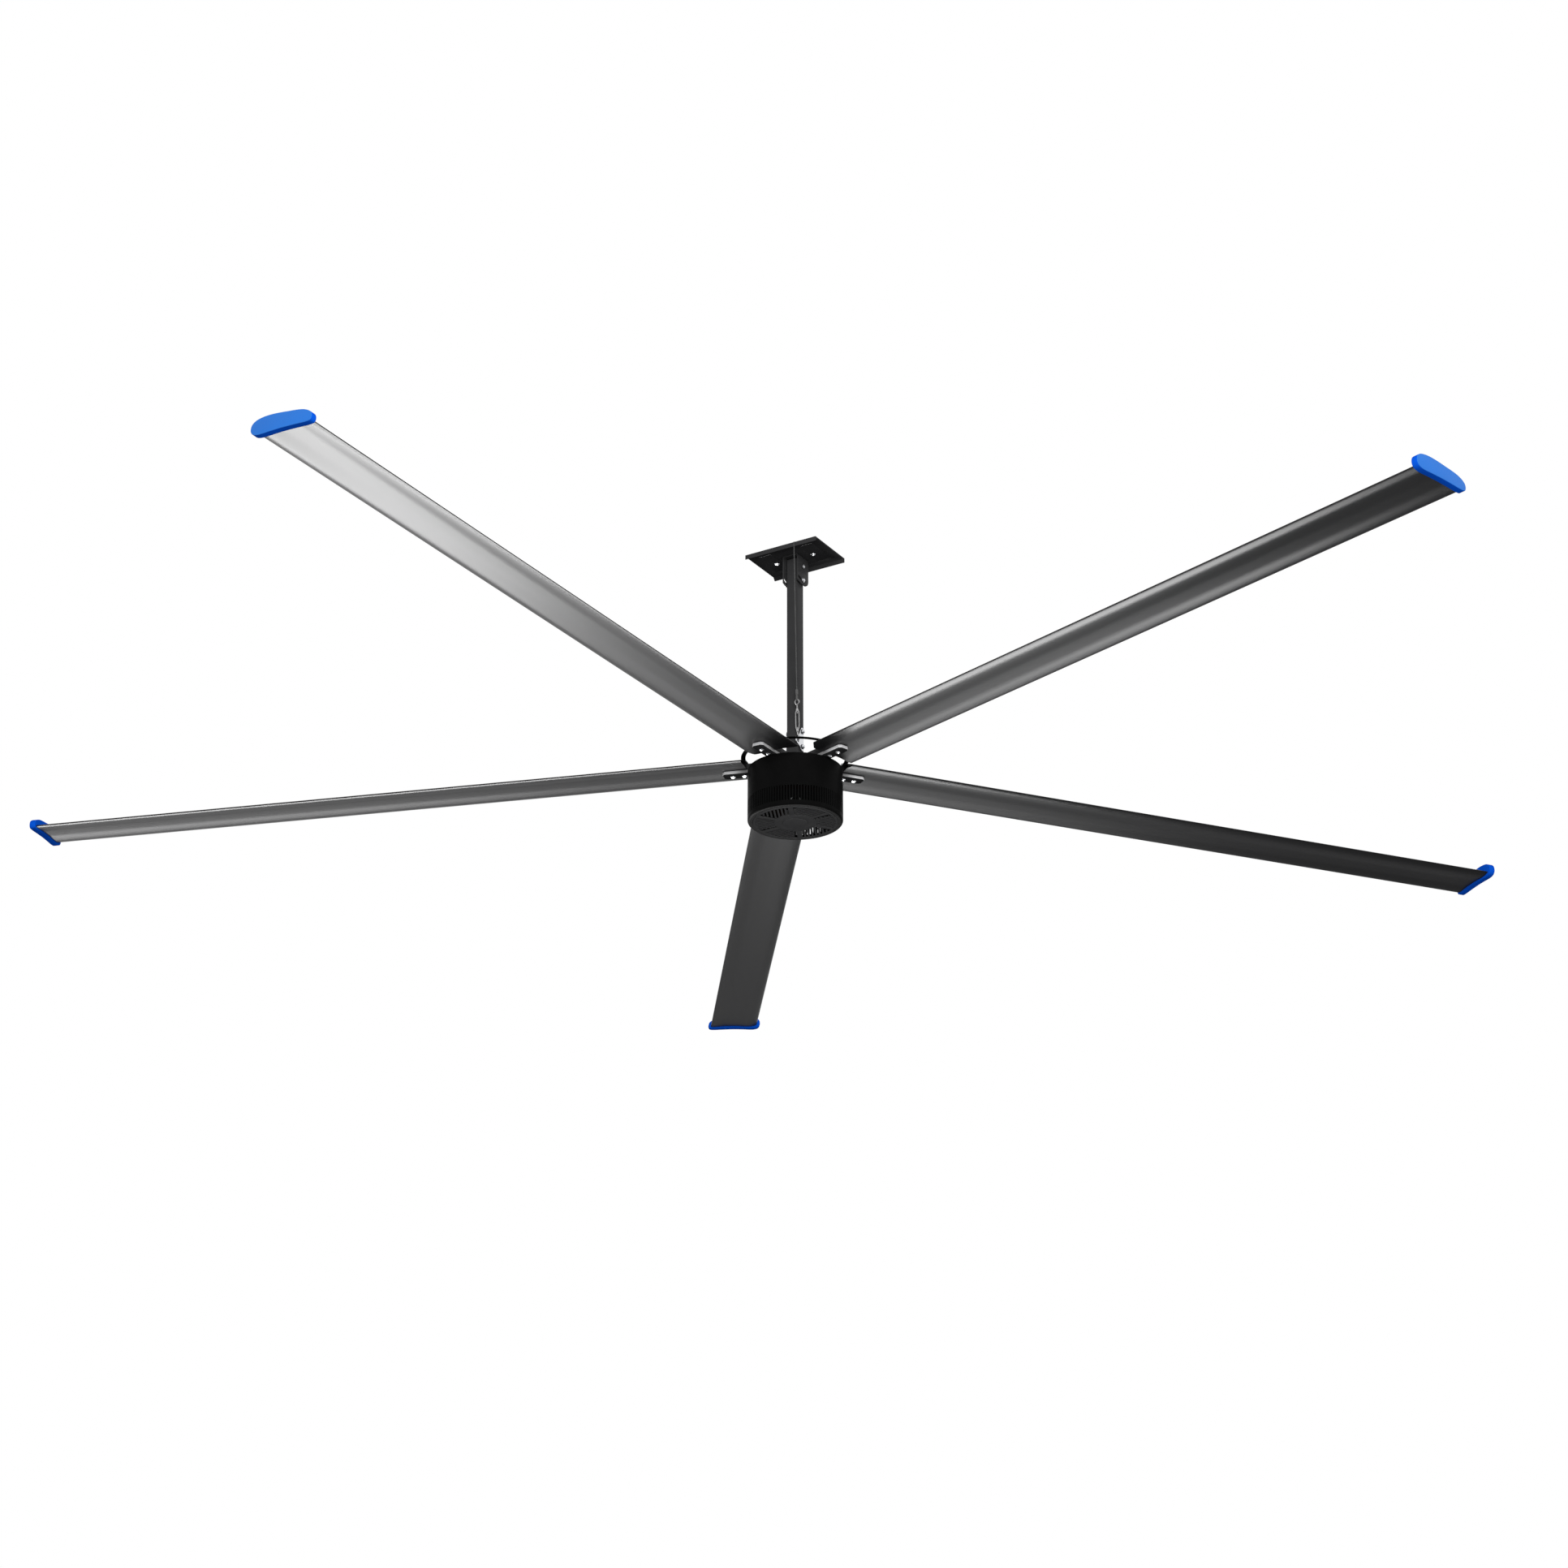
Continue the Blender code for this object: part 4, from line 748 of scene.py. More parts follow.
# %% Tree that extrudes a blade
def blade_tree():
    tree, given = new_tree("blade_extrusion", Object="Section",
                           Float="Root Radius, End Radius, Corner, Nose, Turn")
    outline = add(tree, "GeometryNodeObjectInfo", {"Object": given["Section"]}).outputs["Geometry"]
    face = add(tree, "GeometryNodeFillCurve", {"Curve": outline}, mode="TRIANGLES")
    length = calc(tree, "SUBTRACT", given["End Radius"], given["Root Radius"])
    blade = add(tree, "GeometryNodeExtrudeMesh", {"Mesh": face, "Individual": False,
                                                  "Offset": vector(tree, z=1.0), "Offset Scale": length})
    back = add(tree, "GeometryNodeFlipFaces", {"Mesh": face})
    whole = add(tree, "GeometryNodeJoinGeometry", {"Geometry": blade})
    feed(tree, back, whole.inputs["Geometry"])
    weld = add(tree, "GeometryNodeMergeByDistance", {"Geometry": whole, "Distance": MERGE_DISTANCE})
    along, up, out = axes(tree, add(tree, "GeometryNodeInputPosition"))
    slant = calc(tree, "SUBTRACT", given["Corner"], calc(tree, "SUBTRACT", along, given["Nose"]))
    at_root = calc(tree, "LESS_THAN", out, given["Corner"])
    cut = calc(tree, "MULTIPLY", calc(tree, "MAXIMUM", slant, 0.0), at_root)
    radius = calc(tree, "ADD", calc(tree, "ADD", out, cut), given["Root Radius"])
    place = vector(tree, radius, along, up)
    laid = add(tree, "GeometryNodeSetPosition", {"Geometry": weld, "Position": place})
    grain = add(tree, "GeometryNodeInputPosition")
    kept = add(tree, "GeometryNodeStoreNamedAttribute", {"Geometry": laid, "Name": "grain", "Value": grain},
               data_type="FLOAT_VECTOR")
    turn = add(tree, "GeometryNodeTransform", {"Geometry": kept, "Rotation": vector(tree, z=given["Turn"])})
    return end_tree(tree, turn, given["Finish"])


# %% Five blades
def lifted(mesh):
    """Drawn about the middle of the rotor, moved to its height."""
    mesh.transform(Matrix.Translation(HUB))
    return mesh


def faced(mesh, direction, share, rest_look, facing_look):
    """Faces that look in a direction by more than a share get one finish, and the rest the other."""
    painted(mesh, rest_look, facing_look)
    for face in mesh.polygons:
        face.material_index = int(face.normal.dot(direction) > share)
    return mesh


def make_blades():
    tree = blade_tree()
    outline = stood_in("blade_section", curve([section] + [hole(points) for points in cells]))
    sizes = {"Section": outline, "Root Radius": BLADE_ROOT_RADIUS, "End Radius": BLADE_END_RADIUS,
             "Corner": CORNER_CHAMFER, "Nose": TOP_SHARES[0][0] * BLADE_CHORD, "Finish": ANODISED}
    for number, angle in enumerate(BLADE_ANGLES, 1):
        inward = Vector((-cos(angle), -sin(angle), 0.0))
        mesh = faced(grown(tree, {**sizes, "Turn": angle}), inward, END_NORMAL_SHARE, ANODISED, SAWN)
        finished(f"blade_extrusion_{number}", lifted(mesh), None, "rotor", "blade_grey", f"blade_{number}")
    bpy.data.objects.remove(outline, do_unlink=True)


make_blades()

# %% [markdown]
# ## End caps
# Each blade ends in a moulded cap a little larger than the section, with a soft rim. A closed smooth curve
# through a few places gives its outline, and the curve's own bevel gives the rim. The outward face and the
# near part of the rim take a lighter blue, a painted sheen; the other sides take a deeper blue, painted
# shade.

# %% Five end caps
CAP_OUTLINE_SHARES = ((0.600, -0.065), (0.623, -0.012), (0.606, 0.059), (0.500, 0.129), (0.370, 0.165),
                      (0.176, 0.194), (0.000, 0.218), (-0.200, 0.232), (-0.400, 0.206), (-0.482, 0.147),
                      (-0.500, 0.082), (-0.494, 0.035), (-0.459, -0.012), (-0.364, -0.041), (-0.176, -0.044),
                      (0.059, -0.047), (0.353, -0.065), (0.529, -0.076))
CAP_STEPS = 4
CAP_THICKNESS = 0.019
CAP_RIM_ROUNDING = 0.0012
FIT_GAP = 0.0003
FACE_NORMAL_SHARE = 0.3


def make_end_caps():
    outline = smooth_loop(chord_places(CAP_OUTLINE_SHARES), CAP_STEPS)
    low = BLADE_END_RADIUS + FIT_GAP
    for number, angle in enumerate(BLADE_ANGLES, 1):
        place = Matrix.Rotation(angle, 4, "Z") @ ACROSS_X
        cap = sheet([outline], low, low + CAP_THICKNESS, CAP_RIM_ROUNDING, place, CAP_STEPS)
        outward = Vector((cos(angle), sin(angle), 0.0))
        # Faces that look outward get the lighter blue as a painted sheen, and the rest get the deeper blue as
        # painted shade
        cap = lifted(faced(cap, outward, FACE_NORMAL_SHARE, SHADED_RIM_BLUE, SHEEN_FACE_BLUE))
        finished(f"end_cap_moulding_{number}", cap, None, "rotor", "blue_plastic", f"end_cap_{number}")


make_end_caps()

# %% [markdown]
# ## Blade brackets and hub arms
# Each blade is held between a flat steel bar under it and an arm that slides into its middle cell. Both
# are sawn from bar, so their own solids are the right shape, and only their edges need rounding. The
# bracket has the dark coat, and its sides take a painted sheen: bright towards the end, dark towards the
# drum.

# %% Brackets and arms
BRACKET_ROUNDING = 0.0018
ARM_ROUNDING = 0.0008
SIDE_NORMAL_SHARE = 0.8


def sheen_sided_bar(mesh):
    """Faces that look up or down take the matte coat, and the sides with their rounded edges take the painted
    sheen.
    """
    painted(mesh, MATTE, SHEEN_SIDES)
    for face in mesh.polygons:
        face.material_index = int(abs(face.normal.z) < SIDE_NORMAL_SHARE)
    return mesh


def make_blade_holders():
    for number in range(1, BLADE_COUNT + 1):
        bar = sheen_sided_bar(softened(f"blade_bracket_{number}", BRACKET_ROUNDING))
        finished(f"bracket_bar_{number}", bar, None, "rotor", "charcoal_paint", f"blade_bracket_{number}")
        arm = softened(f"hub_arm_{number}", ARM_ROUNDING)
        finished(f"arm_bar_{number}", arm, CHARCOAL, "rotor", "charcoal_paint", f"hub_arm_{number}")


make_blade_holders()

# %% [markdown]
# ## Motor housing
# The drum is a spun aluminium shell with upright slots round its lower half and a rounded bead at the
# foot. Cutting a hundred slots with Booleans is slow and leaves poor shading, so the wall is turned in
# narrow columns and a tree takes away the faces that lie in a slot. Solidify then gives the wall its
# thickness, inwards.

# %% Drum sizes
drum_low, drum_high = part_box("motor_housing")
DRUM_RADIUS = drum_high.x
DRUM_TOP = drum_high.z - HUB.z
DRUM_FOOT = drum_low.z - HUB.z
DRUM_WALL = 0.006
BEAD_RADIUS = 0.0075
BEAD_STEPS = 10
SEAT_RADIUS = 0.1292
SLOT_COUNT = 104
COLUMNS_PER_SLOT = 4
SLOT_WIDTH = 0.0042
SLOT_TOP = -0.116
SLOT_FOOT = -0.166
print("drum:", round(2 * DRUM_RADIUS, 4), "across,", round(DRUM_TOP - DRUM_FOOT, 4), "high")

# %% Tree that opens the slots
def slot_tree():
    tree, given = new_tree("drum_slots", Geometry="Wall", Float="Count, Width, Radius, Top, Foot")
    x, y, z = axes(tree, add(tree, "GeometryNodeInputPosition"))
    turns = calc(tree, "DIVIDE", calc(tree, "ARCTAN2", y, x), tau)
    share = calc(tree, "FRACT", calc(tree, "MULTIPLY", turns, given["Count"]))
    pitch = calc(tree, "DIVIDE", calc(tree, "MULTIPLY", given["Radius"], tau), given["Count"])
    aside = calc(tree, "MULTIPLY", calc(tree, "ABSOLUTE", calc(tree, "SUBTRACT", share, 0.5)), pitch)
    within = calc(tree, "LESS_THAN", aside, calc(tree, "DIVIDE", given["Width"], 2.0))
    below = calc(tree, "LESS_THAN", z, given["Top"])
    above = calc(tree, "GREATER_THAN", z, given["Foot"])
    chosen = calc(tree, "MULTIPLY", within, calc(tree, "MULTIPLY", below, above))
    opened = add(tree, "GeometryNodeDeleteGeometry", {"Geometry": given["Wall"], "Selection": chosen},
                 domain="FACE")
    return end_tree(tree, opened, given["Finish"])


# %% Drum with its bead and the seat of the grille
def make_drum():
    bead = arc((DRUM_RADIUS - BEAD_RADIUS, DRUM_FOOT + BEAD_RADIUS), BEAD_RADIUS, 0.0, -pi / 2, BEAD_STEPS)
    profile = [(DRUM_RADIUS, DRUM_TOP), (DRUM_RADIUS, SLOT_TOP), (DRUM_RADIUS, SLOT_FOOT)] + bead
    profile += [(SEAT_RADIUS, DRUM_FOOT)]
    wall = turned(profile, SLOT_COUNT * COLUMNS_PER_SLOT, closed=False)
    slotted = grown(slot_tree(), {"Count": float(SLOT_COUNT), "Width": SLOT_WIDTH, "Radius": DRUM_RADIUS,
                                  "Top": SLOT_TOP, "Foot": SLOT_FOOT, "Finish": BLACK}, wall)
    made = stood_in("drum", slotted)
    thick = made.modifiers.new("wall", "SOLIDIFY")
    thick.thickness = DRUM_WALL
    thick.offset = -1.0
    finished("slotted_drum", lifted(plain_mesh(made)), None, "rotor", "black_paint", "motor_housing")


make_drum()

# %% [markdown]
# ## Bottom grille
# Six sectors of parallel slats stand between a rim, six spokes and a middle disc. One sector is a row of
# points, and each point gets a bar whose two ends follow from how far out it lies. The tree makes the
# row once and turns six copies of it.

# %% Grille sizes
grille_low, grille_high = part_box("bottom_grille")
GRILLE_RADIUS = grille_high.x
GRILLE_FOOT = grille_low.z - HUB.z
GRILLE_THICKNESS = 0.004
GRILLE_ROUNDING = 0.0006
SECTOR_COUNT = 6
SLAT_PITCH = 0.0114
SLAT_SLOT_WIDTH = 0.006
FIRST_SLOT_OFFSET = 0.0145
SPOKE_ANGLE = radians(-64.4)
SECTOR_ANGLE = radians(54)
SPOKE_EDGE = 0.0034
SECTOR_INNER_RADIUS = 0.062
SECTOR_OUTER_RADIUS = 0.121
SLAT_INSET = 0.0004
SLAT_OVERLAP = 0.002
first_slat = FIRST_SLOT_OFFSET + SLAT_PITCH / 2
slat_count = int((SECTOR_OUTER_RADIUS - first_slat) / SLAT_PITCH) + 1
print("grille:", slat_count * SECTOR_COUNT, "slats")

# %% Tree that lays the slats
def slat_tree():
    tree, given = new_tree("grille_slats", Int="Slats, Sectors",
                           Float="First, Pitch, Width, Thickness, Inner, Outer, Edge, Lean, Overlap")
    row = add(tree, "GeometryNodeMeshLine",
              {"Count": given["Slats"], "Start Location": vector(tree, y=given["First"]),
               "Offset": vector(tree, y=given["Pitch"])})
    across = axes(tree, add(tree, "GeometryNodeInputPosition"))[1]
    square = calc(tree, "MULTIPLY", across, across)

    def reach(radius):
        inside = calc(tree, "SUBTRACT", calc(tree, "MULTIPLY", radius, radius), square)
        return calc(tree, "SQRT", calc(tree, "MAXIMUM", inside, 0.0))

    slanted = calc(tree, "ADD", given["Edge"], calc(tree, "MULTIPLY", across, given["Lean"]))
    begin = calc(tree, "MAXIMUM", reach(given["Inner"]), slanted)
    begin = calc(tree, "SUBTRACT", begin, given["Overlap"])
    finish = calc(tree, "ADD", reach(given["Outer"]), given["Overlap"])
    length = calc(tree, "MAXIMUM", calc(tree, "SUBTRACT", finish, begin), 0.0)
    halfway = calc(tree, "DIVIDE", calc(tree, "ADD", begin, finish), 2.0)
    middle = vector(tree, halfway, calc(tree, "MULTIPLY", across, -1.0))
    sized = add(tree, "GeometryNodeCaptureAttribute", {"Geometry": row})
    sized.capture_items.new("VECTOR", "Size")
    feed(tree, vector(tree, length, given["Width"], given["Thickness"]), sized.inputs["Size"])
    laid = add(tree, "GeometryNodeSetPosition", {"Geometry": sized, "Position": middle})
    bar = add(tree, "GeometryNodeMeshCube")
    slats = add(tree, "GeometryNodeInstanceOnPoints",
                {"Points": laid, "Instance": bar, "Scale": sized.outputs["Size"]})
    return end_tree(tree, ring_of(tree, slats, given["Sectors"]), given["Finish"])


# %% Rim, spokes and middle disc
SPOKE_WIDTH = SPOKE_EDGE + FIRST_SLOT_OFFSET - SLAT_SLOT_WIDTH / 2
DISC_RADIUS = 0.064
CAP_RECESS_RADIUS = 0.0383
BOSS_OUTER_RADIUS = 0.034
NUT_ROOM_RADIUS = 0.0237
RIM_SIDES = 128
DISC_SIDES = 96


def grille_disc(low, high, radius, opening=0.0, sides=DISC_SIDES):
    holes = [hole(circle(opening, sides))] if opening else []
    return sheet([circle(radius, sides)] + holes, low, high, GRILLE_ROUNDING)


def bearing_boss(foot):
    """The ring that the lower bearing runs in, with room for the shaft's nut under it."""
    bearing_low, bearing_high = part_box("lower_bearing")
    bore, step, top = bearing_high.x + FIT_GAP, bearing_low.z - HUB.z - FIT_GAP, bearing_high.z - HUB.z
    outside = [(BOSS_OUTER_RADIUS, top), (BOSS_OUTER_RADIUS, foot)]
    inside = [(NUT_ROOM_RADIUS, foot), (NUT_ROOM_RADIUS, step), (bore, step), (bore, top)]
    return turned(outside + inside, DISC_SIDES)


def make_grille():
    low, high = GRILLE_FOOT, GRILLE_FOOT + GRILLE_THICKNESS
    middle = (low + high) / 2
    slats = grown(slat_tree(), {"Slats": slat_count, "First": first_slat, "Pitch": SLAT_PITCH,
                                "Width": SLAT_PITCH - SLAT_SLOT_WIDTH,
                                "Thickness": high - low - 2 * SLAT_INSET,
                                "Inner": SECTOR_INNER_RADIUS, "Outer": SECTOR_OUTER_RADIUS,
                                "Edge": SPOKE_EDGE / sin(SECTOR_ANGLE), "Lean": 1 / tan(SECTOR_ANGLE),
                                "Overlap": SLAT_OVERLAP, "Sectors": SECTOR_COUNT, "Finish": GRILLE})
    slats.transform(Matrix.Rotation(SPOKE_ANGLE, 4, "Z") @ Matrix.Translation((0.0, 0.0, middle)))
    discs = [grille_disc(low, high, GRILLE_RADIUS, SECTOR_OUTER_RADIUS, RIM_SIDES),
             grille_disc(low, high, DISC_RADIUS, CAP_RECESS_RADIUS),
             grille_disc(middle, high - SLAT_INSET, CAP_RECESS_RADIUS + SLAT_OVERLAP)]
    near, far = SPOKE_EDGE - SPOKE_WIDTH, SPOKE_EDGE
    inner, outer = DISC_RADIUS - SLAT_OVERLAP, SECTOR_OUTER_RADIUS + SLAT_OVERLAP / 2
    outline = [(inner, near), (outer, near), (outer, far), (inner, far)]
    spokes = []
    for index in range(SECTOR_COUNT):
        turn = Matrix.Rotation(SPOKE_ANGLE + tau * index / SECTOR_COUNT, 4, "Z")
        spokes.append(sheet([outline], low + SLAT_INSET / 2, high - SLAT_INSET / 2, GRILLE_ROUNDING, turn))
    whole = joined(slats, *discs, bearing_boss(middle), *spokes)
    finished("slatted_grille", lifted(whole), GRILLE, "rotor", "black_paint", "bottom_grille")


make_grille()

# %% Bare cap in the middle of the grille
CAP_DOME_STEPS = 4


def make_centre_cap():
    low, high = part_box("centre_cap")
    radius, foot, top = high.x, low.z - HUB.z, high.z - HUB.z
    edge = (top - foot) / 2
    dome = arc((radius - edge, foot + edge), edge, 0.0, -pi / 2, CAP_DOME_STEPS)
    cap = turned([(0.0, top), (radius, top)] + dome + [(0.0, foot)], DISC_SIDES, closed=False)
    finished("plain_centre_cap", lifted(cap), GRILLE, "rotor", "black_paint", "centre_cap")


make_centre_cap()

# %% [markdown]
# ## Hub plate and retention ring
# The hub plate closes the drum and carries the arms on studs. The thin ring over the blade roots keeps a
# broken blade from flying off. Both are turned, with a small round on each rim.

# %% Hub plate
HUB_PLATE_THICKNESS = 0.007
HUB_PLATE_ROUNDING = 0.001
HUB_BOSS_RADIUS = 0.044
HUB_OPENING_RADIUS = 0.024
RIM_STEPS = 3
BOLT_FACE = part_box("blade_bracket_1")[0].z


def rounded_side(radius, low, high, rounding):
    """The outer side of a disc with its rounded edges, from top to foot."""
    upper = arc((radius - rounding, high - rounding), rounding, pi / 2, 0.0, RIM_STEPS)
    lower = arc((radius - rounding, low + rounding), rounding, 0.0, -pi / 2, RIM_STEPS)
    return upper + lower


def make_hub_plate():
    hub_low, hub_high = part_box("hub_plate")
    top = BOLT_FACE - HUB.z - FIT_GAP
    foot = top - HUB_PLATE_THICKNESS
    boss_foot = hub_low.z - HUB.z
    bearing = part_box("upper_bearing")[1]
    bore, step = bearing.x + FIT_GAP, bearing.z - HUB.z + FIT_GAP
    profile = rounded_side(hub_high.x, foot, top, HUB_PLATE_ROUNDING)
    profile += [(HUB_BOSS_RADIUS, foot), (HUB_BOSS_RADIUS, boss_foot), (bore, boss_foot), (bore, step),
                (HUB_OPENING_RADIUS, step), (HUB_OPENING_RADIUS, top)]
    plate = lifted(turned(profile, RIM_SIDES))
    finished("turned_hub_plate", plate, BLACK, "rotor", "black_paint", "hub_plate")


make_hub_plate()

# %% Retention ring
RING_INNER_RADIUS = 0.151
RING_ROUNDING = 0.0006
RING_SIDES = 160


def make_retention_ring():
    low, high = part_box("retention_ring")
    outline = [circle(high.x, RING_SIDES), hole(circle(RING_INNER_RADIUS, RING_SIDES))]
    ring = lifted(sheet(outline, low.z - HUB.z, high.z - HUB.z, RING_ROUNDING))
    finished("thin_retention_ring", ring, BLACK, "rotor", "black_paint", "retention_ring")


make_retention_ring()

# %% [markdown]
# ## Bolts
# The fan is held by M8 bolts. Each visible end is one of two small shapes, a hexagon head or a domed nut,
# both on a washer. A tree puts a copy on every point of a mesh, turned to the direction that the point
# keeps, so all the bolts of one body are one mesh.

# %% Head and domed nut
BOLT_FLATS = 0.013
BOLT_RADIUS = 0.004
WASHER_RADIUS = 0.0080
WASHER_THICKNESS = 0.0012
WASHER_CHAMFER = 0.0003
HEAD_HEIGHT = 0.0055
HEAD_ROUNDING = 0.0004
ROUND_SIDES = 16
DOME_STEPS = 4
# Shares of a head's height, and of its half width for the dome's radius
NUT_BLOCK_SHARE = 0.6
NUT_HEIGHT_SHARE = 1.2
DOME_WIDTH_SHARE = 0.9


def hexagon_block(low, high):
    corner = BOLT_FLATS / 2 / cos(pi / 6)
    return sheet([circle(corner, 6)], low, high, HEAD_ROUNDING, segments=1)


def washer():
    inner, foot = WASHER_RADIUS - WASHER_CHAMFER, WASHER_THICKNESS - WASHER_CHAMFER
    profile = [(0.0, WASHER_THICKNESS), (inner, WASHER_THICKNESS), (WASHER_RADIUS, foot),
               (WASHER_RADIUS, 0.0), (0.0, 0.0)]
    return turned(profile, ROUND_SIDES, closed=False)


def head():
    return hexagon_block(WASHER_THICKNESS, WASHER_THICKNESS + HEAD_HEIGHT)


def domed_nut():
    block_top = WASHER_THICKNESS + HEAD_HEIGHT * NUT_BLOCK_SHARE
    radius = BOLT_FLATS / 2 * DOME_WIDTH_SHARE
    rise = WASHER_THICKNESS + HEAD_HEIGHT * NUT_HEIGHT_SHARE - block_top
    dome = arc((0.0, 0.0), 1.0, pi / 2, 0.0, DOME_STEPS)
    profile = [(x * radius, block_top + z * rise) for x, z in dome] + [(0.0, block_top)]
    return joined(hexagon_block(WASHER_THICKNESS, block_top), turned(profile, ROUND_SIDES, closed=False))


# %% Tree that sets a shape on every point
def fastener_tree():
    tree, given = new_tree("fasteners", Geometry="Points", Object="Shape")
    shape = add(tree, "GeometryNodeObjectInfo", {"Object": given["Shape"]}).outputs["Geometry"]
    facing = add(tree, "GeometryNodeInputNamedAttribute", {"Name": "facing"}, data_type="FLOAT_VECTOR")
    turn = add(tree, "FunctionNodeAlignRotationToVector", {"Vector": facing}, axis="Z")
    copies = add(tree, "GeometryNodeInstanceOnPoints",
                 {"Points": given["Points"], "Instance": shape, "Rotation": turn})
    return end_tree(tree, copies, given["Finish"])


FASTENERS = fastener_tree()


def copies_at(places, shape, look):
    """A copy of the shape on each (point, direction)."""
    points = bpy.data.meshes.new("points")
    points.from_pydata([tuple(point) for point, direction in places], [], [])
    facing = points.attributes.new("facing", "FLOAT_VECTOR", "POINT")
    for item, (point, direction) in zip(facing.data, places):
        item.vector = direction
    template = stood_in("template", shape)
    mesh = grown(FASTENERS, {"Shape": template, "Finish": look}, points)
    bpy.data.objects.remove(template, do_unlink=True)
    return mesh


def fasteners(nuts, heads=()):
    """Zinc domed nuts and heads on dark washers."""
    made = [copies_at(nuts, domed_nut(), ZINC)]
    if heads:
        made.append(copies_at(heads, head(), ZINC))
    return joined(*made, copies_at([*nuts, *heads], washer(), CHARCOAL))


# %% Bolts of the rotor
INNER_BOLT_RADIUS = 0.158
OUTER_BOLT_RADIUS = 0.194
STUD_RADIUS = 0.112
DOWN = Vector((0.0, 0.0, -1.0))
UP = Vector((0.0, 0.0, 1.0))


def around(radius, height, direction):
    """A place over or under each blade's line, and the direction in which its bolt's end looks."""
    return [(Vector((radius * cos(angle), radius * sin(angle), height)), direction) for angle in BLADE_ANGLES]


def make_rotor_bolts():
    nuts = around(INNER_BOLT_RADIUS, BOLT_FACE, DOWN) + around(OUTER_BOLT_RADIUS, BOLT_FACE, DOWN)
    heads = around(INNER_BOLT_RADIUS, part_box("retention_ring")[1].z, UP)
    heads += around(OUTER_BOLT_RADIUS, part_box("blade_1")[1].z, UP)
    heads += around(STUD_RADIUS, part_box("hub_arm_1")[1].z, UP)
    numbers = range(1, BLADE_COUNT + 1)
    names = [f"{row}_blade_bolt_{number}" for row in ("inner", "outer") for number in numbers]
    finished("rotor_bolts", fasteners(nuts, heads), None, "rotor", "bright_zinc", *names)


make_rotor_bolts()

# %% [markdown]
# ## Ceiling mount
# A steel plate bolts to the ceiling. A lip along each long side, thick at its root and thin at its foot,
# stiffens it. Under it a bent bracket holds the tube between two ears, with a round hole for the pivot
# bolt and a curved slot for the clamp bolt. The plate's section is pushed out to its length, and the slots
# are cut through it afterwards. Each ear is a flat outline with holes.

# %% Cuts
def cut_from(mesh, cutters):
    base = stood_in("base", mesh)
    tools = [stood_in("cutter", cutter) for cutter in cutters]
    for tool in tools:
        boolean = base.modifiers.new("cut", "BOOLEAN")
        boolean.operation = "DIFFERENCE"
        boolean.object = tool
    result = plain_mesh(base)
    for tool in tools:
        bpy.data.objects.remove(tool, do_unlink=True)
    return result


# %% Ceiling plate
plate_low, plate_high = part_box("ceiling_plate")
PLATE_THICKNESS = 0.0048
PLATE_ROUNDING = 0.0001
LIP_FOOT_WIDTH = 0.0015
LIP_ROOT_WIDTH = 0.0095
MOUNT_SLOT_PITCH = Vector((0.150, 0.114))
MOUNT_SLOT_LENGTH = 0.051
MOUNT_SLOT_WIDTH = 0.0080
SLOT_END_STEPS = 8


def mount_slot(x, y):
    """One of the four slots, on the sides that x and y name by their signs."""
    end = MOUNT_SLOT_WIDTH / 2
    reach = MOUNT_SLOT_LENGTH / 2 - end
    x, y = x * MOUNT_SLOT_PITCH.x / 2, y * MOUNT_SLOT_PITCH.y / 2
    right = arc((x + reach, y), end, -pi / 2, pi / 2, SLOT_END_STEPS)
    left = arc((x - reach, y), end, pi / 2, 3 * pi / 2, SLOT_END_STEPS)
    return sheet([right + left], plate_low.z, -plate_low.z)


def make_ceiling_plate():
    half, foot = plate_high.y, plate_low.z
    lip = [(half - LIP_ROOT_WIDTH, -PLATE_THICKNESS), (half - LIP_FOOT_WIDTH, foot), (half, foot)]
    right = lip + [(half, 0.0)]
    left = [(-y, z) for y, z in reversed(right)]
    lipped = sheet([right + left], plate_low.x, plate_high.x, matrix=ACROSS_X)
    slots = [mount_slot(x, y) for x in (-1, 1) for y in (-1, 1)]
    mesh = rounded(welded(cut_from(lipped, slots), flat=True), PLATE_ROUNDING, segments=2)
    finished("lipped_ceiling_plate", mesh, MATTE, "ceiling_mount", "charcoal_paint", "ceiling_plate")


make_ceiling_plate()

# %% Swivel bracket
bracket_low, bracket_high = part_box("swivel_bracket")
SHEET_ROUNDING = 0.0002
EAR_THICKNESS = 0.004
EAR_BEND = 0.006
PIVOT = Vector((0.0, 0.0, joints["mount_tilt"]["pos_m"][2]))
CLAMP_RADIUS = 0.048
TILT = radians(joints["mount_tilt"]["range_deg"][1])
EAR_EDGE_RADIUS = 0.0615
EAR_LOBE_RADIUS = 0.022
HOLE_RADIUS = 0.0046
HOLE_SIDES = 24
EAR_STEPS = 12
OUTER_BEND_STEPS = 8
INNER_BEND_STEPS = 6


def ear_outline():
    """The ear's (y, z) outline: one lower corner is a large round, the other follows the clamp slot."""
    low_side, high_side = bracket_low.y, bracket_high.y
    foot_y = -((EAR_EDGE_RADIUS ** 2 - low_side ** 2) ** 0.5)
    edge = arc((0.0, PIVOT.z), EAR_EDGE_RADIUS, atan2(foot_y, low_side), -pi / 2, EAR_STEPS)
    lobe_centre = (high_side - EAR_LOBE_RADIUS, PIVOT.z - EAR_EDGE_RADIUS + EAR_LOBE_RADIUS)
    lobe = arc(lobe_centre, EAR_LOBE_RADIUS, -pi / 2, 0.0, EAR_STEPS)
    top = bracket_high.z - EAR_BEND
    return edge + lobe + [(high_side, top), (low_side, top)]


